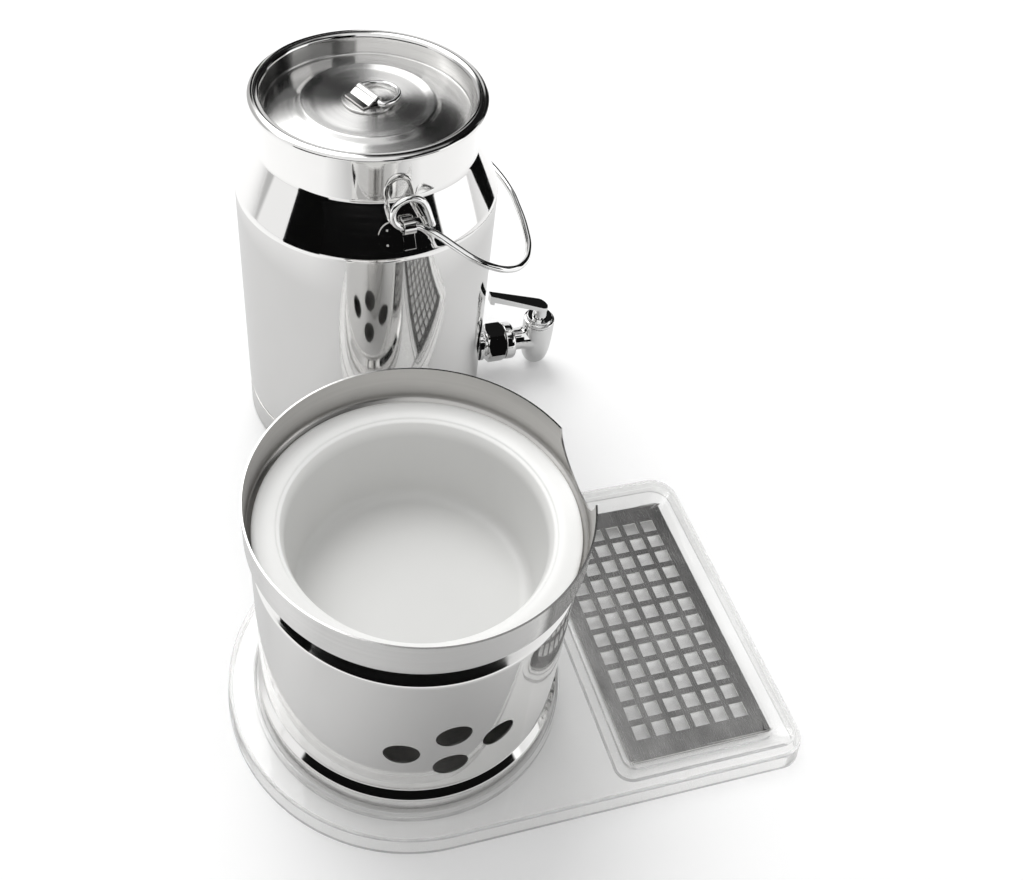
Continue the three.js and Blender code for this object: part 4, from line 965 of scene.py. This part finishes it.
class DISPENSER_OT_lid(bpy.types.Operator):
    """Models the lid's pan, the round plate on it, the folded strap and the wire ring"""

    bl_idname = "dispenser.lid"
    bl_label = "Lid"
    bl_options = {"REGISTER", "UNDO"}

    def execute(self, context):
        sizes, colours = choices(context)
        rim = (sizes.churn_radius - sizes.shoulder_run) / MM + 4.7
        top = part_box("lid_pan")[1][2] / MM
        plate_low, plate_high = (corner[2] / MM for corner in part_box("lid_ring_plate"))
        disc = plate_low - CLEARANCE
        pan = top - 13.4
        outline = eased([
            (rim, top - 3.6),
            (rim, top - 1.8, 0.8),
            (rim - 1.6, top - 0.45, 0.9),
            (rim - 4.2, top - 0.05, 1),
            (rim - 6.7, top - 0.5, 0.9),
            (rim - 8, top - 2, 1),
            (rim - 9.4, pan, 1.6),
            (rim - 11.1, pan + 0.2, 0.8),
            (45.2, pan + 3.9, 1.3),
            (41.6, disc + 1.3, 1.2),
            (35.3, disc, 1.2),
            (6, disc),
        ], 5)
        lid = turned(CHURN_FOOT, [*outline, (0, disc)], LID_STEPS)
        face_up(lid)
        wall(lid, 0.8 * MM)
        axis = Vector((CHURN_FOOT.x, CHURN_FOOT.y, disc * MM))
        brushed = round_brushed("brushed_lid_steel", colours.satin, axis, 0.24, 0.04, 0.95)
        rolled = round_brushed("satin_rim_steel", colours.polished, axis, 0.09, 0.04, 0.6)
        for finish in (brushed, rolled):
            lid.data.materials.append(finish)
        paint(lid, 1, lambda point, normal: (point - CHURN_FOOT).xy.length > (rim - 9.2) * MM)
        finish_piece(lid, "lid_shell", "lid", None, ["lid_pan"])

        outline = [(1, plate_low), (16.3, plate_low), (16.3, plate_high, 0.5), (1, plate_high)]
        plate = turned(CHURN_FOOT, eased(outline), fill=True)
        finish_piece(plate, "lid_round_plate", "lid", brushed, ["lid_ring_plate"])

        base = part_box("lid_ring_strap")[0][2]
        spot = moved((CHURN_FOOT.x, CHURN_FOOT.y, base), RING_TURN)
        lift = sizes.ring_wire / MM + 0.8
        inner = sizes.ring_wire / MM + 0.5
        hump = arc(inner, math.pi, 0, 12, lift)[2:]
        path = [(-11, 0.35), (-6.5, 0.35), (-3.4, 2.6), (-inner, lift + 0.6), *hump, (inner, 0)]
        strap = strip(18.5, path, 1.1, 0.35)
        place_mesh(strap, spot)
        bright = mirror_sheet("bright_strap_steel", colours.polished, axis)
        finish_piece(strap, "lid_strap", "lid", bright, ["lid_ring_strap"], 40)

        half, depth, bend = 13.5, 19.5, sizes.ring_wire / MM * 2
        shift, gap, straight = 1.5, 0.2, half * 0.86
        bow = [
            Vector((bend + (depth - bend) * x, half * y, 0))
            for x, y in arc(1, -QUARTER, QUARTER, 12)[1:-1]
        ]
        legs = (shift - gap, -half / 2, -straight, straight, half / 2, shift + gap)
        legs = [Vector((0, y, 0)) for y in legs]
        ring = wire([*legs[:3], *bow, *legs[3:]], sizes.ring_wire * 0.99, 0.4)
        place_mesh(ring, spot @ moved((0, -shift * MM, lift * MM), RING_TILT, "Y"))
        bright = plated("bright_ring_wire", colours.chrome, axis)
        finish_piece(ring, "lid_wire_ring", "lid_ring", bright, ["lid_ring"], 50)
        return {"FINISHED"}


class DISPENSER_OT_bail(bpy.types.Operator):
    """Models the two ears on the shoulder and the bail's wire with its curled ends"""

    bl_idname = "dispenser.bail"
    bl_label = "Ears and bail"
    bl_options = {"REGISTER", "UNDO"}

    def execute(self, context):
        sizes, colours = choices(context)
        radius = sizes.churn_radius
        run = radius - sizes.shoulder_run
        slope = math.atan2(sizes.shoulder_rise, sizes.shoulder_run)
        low = Vector((radius, sizes.shoulder_height))
        high = Vector((run, sizes.shoulder_height + sizes.shoulder_rise))
        normal = Vector((math.sin(slope), math.cos(slope)))
        under, over = 0.3 * MM, 1.5 * MM
        section = (
            low + normal * under, high + normal * under, high + normal * over, low + normal * over
        )
        section = [tuple(corner / MM) for corner in section]
        inner, lift = 3.2, 3.0
        strap_up, strap_off = 20, 1.8
        steel = mirror_sheet("polished_ear_steel", colours.polished, CHURN_FOOT)

        def on_shoulder(turn):
            """The frame at the shoulder's lower edge: Y runs up the slope and Z away from it."""
            return moved(CHURN_FOOT, turn) @ moved((0, -radius, sizes.shoulder_height), slope, "X")

        for side, turn in (("front", EAR_TURN), ("back", EAR_TURN + math.pi)):
            plate = ring_of(CHURN_FOOT, section, WALL_STEPS * 2)
            tool = block((0, 0), (18, 9.5), (9.45, 9.45), [(0, -9.5), (0, 9.5)], 16)
            place_mesh(tool, on_shoulder(turn) @ moved((0, 14 * MM, 0)))
            combine(plate, tool, "INTERSECT")
            soften(plate, 0.3, 60)
            for across, up in ((-11, 9.5), (-11, 18.5), (11, 9.5), (11, 18.5)):
                deselect_all()
                bpy.ops.mesh.primitive_uv_sphere_add(segments=20, ring_count=10, radius=1.1 * MM)
                weld = bpy.context.object
                place = on_shoulder(turn + across * MM / run)
                place_mesh(weld, place @ moved((0, up * MM, over + 0.85 * MM)))
                combine(plate, weld, "DIFFERENCE")
            finish_piece(plate, f"ear_{side}", "churn", steel, [f"ear_plate_{side}"])

            hump = arc(inner, math.pi, 0, 12, lift)
            strap = strip(7.6, [(-14.5, 0), (-inner, 0), *hump, (inner, 0), (6, 0)], 1.3, 0.4)
            place = moved((0, strap_up * MM, strap_off * MM), QUARTER)
            place_mesh(strap, on_shoulder(turn) @ place)
            nodes = [f"ear_strap_{side}"]
            finish_piece(strap, f"strap_{side}", "churn", steel, nodes, 40)

        off = strap_off + lift
        distance = radius / MM - strap_up * math.cos(slope) + off * math.sin(slope)
        height = sizes.shoulder_height / MM + strap_up * math.sin(slope) + off * math.cos(slope)
        curl_radius, straight, droop = 10.3, 4.2, 0.436
        reach, spread = radius / MM + 23.8, 27.5
        along = Vector((math.cos(droop), -math.sin(droop)))
        start = Vector((straight, -curl_radius))
        opens = [distance + share * spread for share in (0.03, 0.21, 0.536, 0.845, 1)]
        closes = [(distance + spread) * share for share in (0.991, 0.908, 0.734, 0.523, 0.275)]
        shares = (0.075, 0.155, 0.236, 0.323, 0.423, 0.545, 0.677, 0.809, 0.895, 0.96)
        curl = [(15, -12), *arc(curl_radius, 0.6, 3 * QUARTER, 16), start]
        front = [Vector((x, -distance, z)) for x, z in curl]
        for share, wide in zip(shares, opens + closes):
            point = start + along * (share * reach - straight / 2)
            front.append(Vector((point.x, -wide, point.y)))
        point = start + along * (reach - straight / 2)
        back = [Vector((p.x, -p.y, p.z)) for p in reversed(front)]
        path = [*front, Vector((point.x, 0, point.y)), *back]
        bail = wire(path, sizes.bail_wire * 0.985, 0.9)
        rise = (height - 0.4 + curl_radius) * MM
        place_mesh(bail, moved(CHURN_FOOT + Vector((0, 0, rise)), EAR_TURN))
        bright = plated("bright_bail_wire", colours.chrome, CHURN_FOOT)
        finish_piece(bail, "bail_wire", "bail", bright, ["bail"], 50)
        return {"FINISHED"}


class DISPENSER_OT_tap(bpy.types.Operator):
    """Models the tap: seal, shank, nuts, body with its spout, bonnet and lever"""

    bl_idname = "dispenser.tap"
    bl_label = "Tap"
    bl_options = {"REGISTER", "UNDO"}

    def execute(self, context):
        sizes, colours = choices(context)
        face = Vector((CHURN_FOOT.x + sizes.churn_radius, TAP_AXIS.y, TAP_AXIS.z))
        reach = 52
        upright = face + Vector((reach * MM, 0, 0))
        chrome = plated("bright_tap_chrome", colours.chrome, face)
        rubber = matt("matt_seal_rubber", colours.rubber, face)

        seal = hoop(face, 6.1, 12.2, 0.3, 3.2, lying=True)
        soften(seal, 0.4, 60)
        finish_piece(seal, "tap_seal_ring", "churn", rubber, ["tap_outer_seal"])

        pitch, root, crest = 1.2, 8.8, 9.4
        thread = []
        for i in range(2):
            at = 6 + pitch * (i + 0.49)
            thread += [
                (root, at), (crest, at + pitch / 4), (crest, at + pitch / 2),
                (root, at + pitch * 0.75),
            ]
        start = (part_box("tap_shank")[0][0] - face.x) / MM
        outline = [
            (4, start), (5.8, start), (5.8, 3.5), (12.4, 3.5), (12.4, 6), (root, 6),
            *thread, (crest, 9.6), (crest, 19.2), (4, 19.2),
        ]
        shank = ring_of(face, outline, lying=True)
        finish_piece(shank, "tap_pipe", "churn", chrome, ["tap_shank"])

        nut_radius = sizes.nut_radius / MM
        flat = nut_radius * math.cos(math.pi / 6)
        nut = rod(face, nut_radius, 9.6, 23.6, 6, lying=True)
        outline = [(flat, 9.6), (nut_radius, 11.4), (nut_radius, 21.8), (flat, 23.6)]
        combine(nut, turned(face, outline, 96, lying=True, fill=True), "INTERSECT")
        for bore, start, end in ((9.7, 6, 22.3), (8.7, 20, 27)):
            combine(nut, rod(face, bore, start, end, lying=True), "DIFFERENCE")
        soften(nut, 0.35, 25)
        finish_piece(nut, "tap_hexagon_nut", "churn", chrome, ["tap_union_nut"])

        outline = eased([(8.7, 23.9), (14.2, 23.9, 0.8), (14.2, 31.4, 3.4), (8.7, 31.4)], 5)
        lock = ring_of(face, outline, lying=True)
        finish_piece(lock, "tap_collar_ring", "churn", chrome, ["tap_lock_ring"])

        outline = [
            (9.4, 19.5), (9.4, 22), (8.4, 22), (8.4, 37), (8.7, 39.6), (9.3, 42.6), (10.2, 46),
            (10.2, reach),
        ]
        tail = turned(face, outline, lying=True, fill=True)
        outline = [
            (5.2, -22.2), (6.4, -22), (7.4, -21.3), (8.2, -20.2), (9.3, -18), (10.2, -14.6),
            (10.9, -10), (11.4, -4), (11.7, 6), (11.8, 14.8), (11.4, 15.8), (10.8, 16),
        ]
        barrel = turned(upright, outline, fill=True)
        combine(barrel, tail, "UNION")
        soften(barrel, 0.9, 28, 3)
        combine(barrel, rod(upright, 6.6, -8, 20), "DIFFERENCE")
        combine(barrel, rod(upright, 4.6, -26, -4), "DIFFERENCE")
        combine(barrel, rod(face, 4, 15, reach, lying=True), "DIFFERENCE")
        finish_piece(barrel, "tap_barrel", "churn", chrome, ["tap_body"])

        outline = [
            (3.7, 16.3), (11.8, 16.3, 0.6), (11.8, 18.9, 1), (9.9, 19.1, 0.4), (9.8, 21.5, 1),
            (3.7, 21.5),
        ]
        bonnet = ring_of(upright, eased(outline, 3))
        finish_piece(bonnet, "tap_cap", "churn", chrome, ["tap_bonnet"])

        outline = eased([(5.6, 21.9), (5.5, 23.4, 0.6), (4.9, 26), (4.9, 31.5)], 3)
        hub = turned((0, 0, 0), outline, fill=True)
        combine(hub, self.lever(sizes.lever_length / MM), "UNION")
        combine(hub, rod((0, 0, 0), 3.7, 18, 29.7), "DIFFERENCE")
        place_mesh(hub, Matrix.Translation(upright))
        finish_piece(hub, "tap_handle_lever", "tap_handle", chrome, ["tap_lever"], 35)

        for node in ("tap_back_nut", "tap_plug"):
            repaint(node, chrome)
        for node in ("tap_inner_seal", "tap_stem_seal"):
            repaint(node, rubber)
        return {"FINISHED"}

    def lever(self, length):
        """The lever's arm, which rises and narrows to its free end and has a lip below it."""
        behind, width, thick, top = 5, 13, 3.6, 33.4
        middle = (behind - length) / 2 * MM
        lip = (3.4 - length) * MM
        deselect_all()
        bpy.ops.mesh.primitive_cube_add(size=1)
        arm = bpy.context.object
        edit_points()
        bpy.ops.transform.resize(
            value=((length + behind) * MM, width * MM, thick * MM), center_override=(0, 0, 0)
        )
        bpy.ops.transform.translate(value=(middle, 0, (top - thick / 2) * MM))
        pick(lambda point: point.x < middle)
        bpy.ops.transform.resize(value=(1, 0.5, 1), center_override=(-length * MM, 0, 0))
        bpy.ops.transform.translate(value=(0, 0, 17 * MM))
        pick(lambda point: point.x > middle)
        bpy.ops.transform.translate(value=(0, 0, -2 * MM))
        pick(lambda point: point.x < middle and point.z < (top + 15.2) * MM)
        bpy.ops.transform.translate(value=(0, 0, -1.9 * MM))

        def is_upright(point, edge):
            """The edge is one of the two upright ones behind the hub."""
            rise = abs(edge.verts[0].co.z - edge.verts[1].co.z)
            return point.x > middle and rise > 2 * MM

        pick(is_upright, "EDGE")
        bpy.ops.mesh.bevel(offset=6.2 * MM, segments=10, profile=0.5, affect="EDGES")
        bpy.ops.mesh.select_all(action="SELECT")
        bpy.ops.mesh.bisect(plane_co=(lip, 0, 0), plane_no=(1, 0, 0))
        pick(lambda point, normal: normal.z < -0.5 and point.x < lip, "FACE")
        bpy.ops.mesh.extrude_region_move(TRANSFORM_OT_translate={"value": (0, 0, -2.4 * MM)})
        close_up(False)
        soften(arm, 0.45, 30)
        return arm


# Dark and light parts of the studio that the steel mirrors: middle azimuth from the camera's side
# and half width, lowest and highest elevation, softness at the sides and at the top, all in
# degrees, and brightness
STUDIO_CARDS = (
    (216, 34, -2, 30, 2, 6, 0.55),
    (159, 8, -2, 27, 1, 2, 0.75),
    (132, 36, 46, 70, 1, 4, 0.3),
    (132, 36, 29, 53, 1, 3, 0.01),
    (130, 20, -2, 30, 2, 4, 0.01),
    (173, 5, 6, 35, 0.8, 2, 0.003),
    (184, 4, 6, 33, 0.8, 2, 0.003),
    (210, 42, 37, 80, 1, 2, 2.2),
    (78, 26, -6, 20, 1, 3, 1.3),
    (60, 32, 34, 66, 2, 2, 0.02),
    (15, 13, 8, 50, 1, 1, 0.003),
    (95, 14, 10, 50, 1, 1, 0.003),
    (348, 64, -6, 20, 1, 1, 0.004),
)
SOFT_BELOW = 2

# Black cards in the studio: name, middle, turn about Z and size
STUDIO_FLAGS = (
    ("studio_flag_right", (0.66, 0.47, 0.06), -1.1, (0.5, 0.24, 1)),
    ("studio_flag_left", (-0.48, -0.146, 0.225), QUARTER, (0.308, 0.25, 1)),
)

# The soft lamp: place and the point it shines at
LAMP_PLACE = Vector((-0.4, 1.36, 2.65))
LAMP_AIM = Vector((0, 0, 0.1))

# The camera: place, turn in degrees, sensor in millimetres, focal length and width in pixels
CAMERA_PLACE = (-0.167806, -0.478421, 0.633044)
CAMERA_TURN = (43.5006, -2.8057, -14.7906)
SENSOR = 36
FOCAL_PIXELS, PICTURE_PIXELS = 1145.878, 1024


class DISPENSER_OT_stage(bpy.types.Operator):
    """Sets up the pale floor, the soft light, the studio's cards and the camera"""

    bl_idname = "dispenser.stage"
    bl_label = "Stage"
    bl_options = {"REGISTER", "UNDO"}

    def execute(self, context):
        scene = context.scene
        self.lay_floor(scene)
        self.stand_flags()
        self.light(scene)
        self.point_camera(scene)
        scene.view_settings.view_transform = "Standard"
        return {"FINISHED"}

    def lay_floor(self, scene):
        """A wide pale disc that keeps the shadow and shows white; in the steel it shows a painted
        reflection, a darker tone that lightens with distance.
        """
        deselect_all()
        bpy.ops.mesh.primitive_circle_add(
            vertices=96, radius=4, fill_type="NGON", location=(0, 0, -0.0002)
        )
        floor = bpy.context.object
        floor.name = "studio_floor"
        place_mesh(floor)
        material, tree, shader = new_finish("pale_floor", [
            ("Roughness", 0.9), ("Specular IOR Level", 0.1), ("Emission Color", (1, 1, 1, 1)),
        ])
        # Rays that the steel mirrors see a painted reflection tone in place of the floor's colour
        path = add(tree, "ShaderNodeLightPath").outputs
        mirrored = calculate(
            tree, "SUBTRACT", path["Is Glossy Ray"], path["Is Transmission Ray"], use_clamp=True
        )
        away = away_from(tree, (-0.09, -0.36, 0))
        beyond = away_from(tree, CHURN_FOOT)
        near = between(tree, away, 0.58, 0.67, 0.03, 0.24)
        side = between(tree, away, 0.0, 1.0, 0.2, 0.36)
        ring = between(tree, beyond, 0.0, 0.34, 0.27, 0.36)
        painted_reflection_tone = calculate(tree, "ADD", near, calculate(tree, "MULTIPLY", ring, side))
        grain = marks(tree, (0, 0, 0), 3.0)
        base = add(tree, "ShaderNodeMix", data_type="RGBA")
        tree.links.new(mirrored, base.inputs["Factor"])
        tree.links.new(tint(tree, grain, scene.dispenser_colours.floor, 0.995), base.inputs["A"])
        tree.links.new(painted_reflection_tone, base.inputs["B"])
        tree.links.new(base.outputs["Result"], shader.inputs["Base Color"])
        lift = calculate(tree, "MULTIPLY", either_ray(tree, "Camera", "Transmission"), 0.07)
        tree.links.new(lift, shader.inputs["Emission Strength"])
        floor.data.materials.append(material)

    def stand_flags(self):
        """Black cards at the right and at the left, seen only in the steel."""
        material = new_finish("black_flag", [
            ("Base Color", (0.004, 0.004, 0.004, 1)), ("Roughness", 1), ("Specular IOR Level", 0),
        ])[0]
        for name, spot, turn, size in STUDIO_FLAGS:
            deselect_all()
            bpy.ops.mesh.primitive_plane_add(size=1, location=spot, rotation=(QUARTER, 0, turn))
            flag = bpy.context.object
            flag.name = name
            flag.scale = size
            place_mesh(flag)
            flag.data.materials.append(material)
            flag.visible_camera = flag.visible_diffuse = False
            flag.visible_shadow = flag.visible_transmission = False

    def light(self, scene):
        """A white world for the camera, the studio's cards for the steel, and one soft lamp."""
        world = bpy.data.worlds.new("studio")
        scene.world = world
        world.use_nodes = True
        tree = world.node_tree
        tree.nodes.clear()
        value = self.cards(tree)
        mirrored, white, ambient = (
            add(tree, "ShaderNodeBackground", (1, 1, 1, 1), strength).outputs[0]
            for strength in (value, 1.0, 0.7)
        )
        seen = either_ray(tree, "Camera", "Transmission")
        glossy = add(tree, "ShaderNodeLightPath").outputs["Is Glossy Ray"]
        first = add(tree, "ShaderNodeMixShader", seen, ambient, white)
        second = add(tree, "ShaderNodeMixShader", glossy, first.outputs[0], mirrored)
        add(tree, "ShaderNodeOutputWorld", second.outputs[0])
        world.cycles.sampling_method = "NONE"
        bpy.ops.object.light_add(type="AREA", location=LAMP_PLACE)
        lamp = bpy.context.object
        lamp.name = "soft_lamp"
        lamp.data.shape = "DISK"
        lamp.data.size = 1.9
        lamp.data.energy = 44
        lamp.rotation_euler = (LAMP_AIM - LAMP_PLACE).to_track_quat("-Z", "Y").to_euler()
        lamp.visible_glossy = False

    def cards(self, tree):
        """The brightness of the studio in each direction, with its cards before a pale ground."""
        x, y, z = add(
            tree, "ShaderNodeSeparateXYZ", add(tree, "ShaderNodeTexCoord").outputs["Generated"]
        ).outputs
        azimuth = calculate(tree, "ARCTAN2", x, calculate(tree, "MULTIPLY", y, -1.0))
        elevation = calculate(tree, "ARCSINE", z)
        value = between(tree, elevation, 1.0, 0.86, 0.0, QUARTER)
        for middle, half, low, high, soft_side, soft_top, bright in STUDIO_CARDS:
            off = calculate(tree, "SUBTRACT", azimuth, math.radians(middle))
            off = calculate(tree, "WRAP", off, math.pi, -math.pi)
            off = calculate(tree, "ABSOLUTE", off)
            share = None
            for angle, first, last, start, end in (
                (off, 1.0, 0.0, half - soft_side, half + soft_side),
                (elevation, 1.0, 0.0, high - soft_top, high + soft_top),
                (elevation, 0.0, 1.0, low - SOFT_BELOW, low),
            ):
                edge = between(
                    tree, angle, first, last, math.radians(start), math.radians(end),
                    interpolation_type="SMOOTHSTEP",
                )
                share = edge if share is None else calculate(tree, "MULTIPLY", share, edge)
            mix = add(tree, "ShaderNodeMix", share, None, value, bright, data_type="FLOAT")
            value = mix.outputs[0]
        return value

    def point_camera(self, scene):
        """The camera at the picture's viewing angle, for a frame of 1024 by 880."""
        turn = [math.radians(angle) for angle in CAMERA_TURN]
        bpy.ops.object.camera_add(location=CAMERA_PLACE, rotation=turn)
        camera = bpy.context.object
        camera.name = "camera"
        camera.data.sensor_width = SENSOR
        camera.data.lens = SENSOR * FOCAL_PIXELS / PICTURE_PIXELS
        camera.data.shift_x = 0.08572
        camera.data.shift_y = -0.0365
        camera.data.clip_start = 0.01
        scene.camera = camera


class DISPENSER_PT_panel(bpy.types.Panel):
    """Lists the dispenser's sizes, colours and operators"""

    bl_idname = "DISPENSER_PT_panel"
    bl_label = "Milk dispenser"
    bl_space_type = "VIEW_3D"
    bl_region_type = "UI"
    bl_category = "Dispenser"

    def draw(self, context):
        for group in (context.scene.dispenser_sizes, context.scene.dispenser_colours):
            column = self.layout.column(align=True)
            for name in group.__annotations__:
                column.prop(group, name)
        column = self.layout.column(align=True)
        for operator in OPERATORS:
            column.operator(operator.bl_idname)


OPERATORS = (
    DISPENSER_OT_tray,
    DISPENSER_OT_grille,
    DISPENSER_OT_stand,
    DISPENSER_OT_basin,
    DISPENSER_OT_churn,
    DISPENSER_OT_lid,
    DISPENSER_OT_bail,
    DISPENSER_OT_tap,
    DISPENSER_OT_stage,
)
CLASSES = (DispenserSizes, DispenserColours, *OPERATORS, DISPENSER_PT_panel)


def register():
    for cls in CLASSES:
        bpy.utils.register_class(cls)
    bpy.types.Scene.dispenser_sizes = PointerProperty(type=DispenserSizes)
    bpy.types.Scene.dispenser_colours = PointerProperty(type=DispenserColours)


def unregister():
    del bpy.types.Scene.dispenser_colours
    del bpy.types.Scene.dispenser_sizes
    for cls in reversed(CLASSES):
        bpy.utils.unregister_class(cls)


def main():
    """Builds every piece and the stage."""
    register()
    bpy.ops.dispenser.tray()
    bpy.ops.dispenser.grille()
    bpy.ops.dispenser.stand()
    bpy.ops.dispenser.basin()
    bpy.ops.dispenser.churn()
    bpy.ops.dispenser.lid()
    bpy.ops.dispenser.bail()
    bpy.ops.dispenser.tap()
    bpy.ops.dispenser.stage()
    deselect_all()


if __name__ == "__main__":
    main()
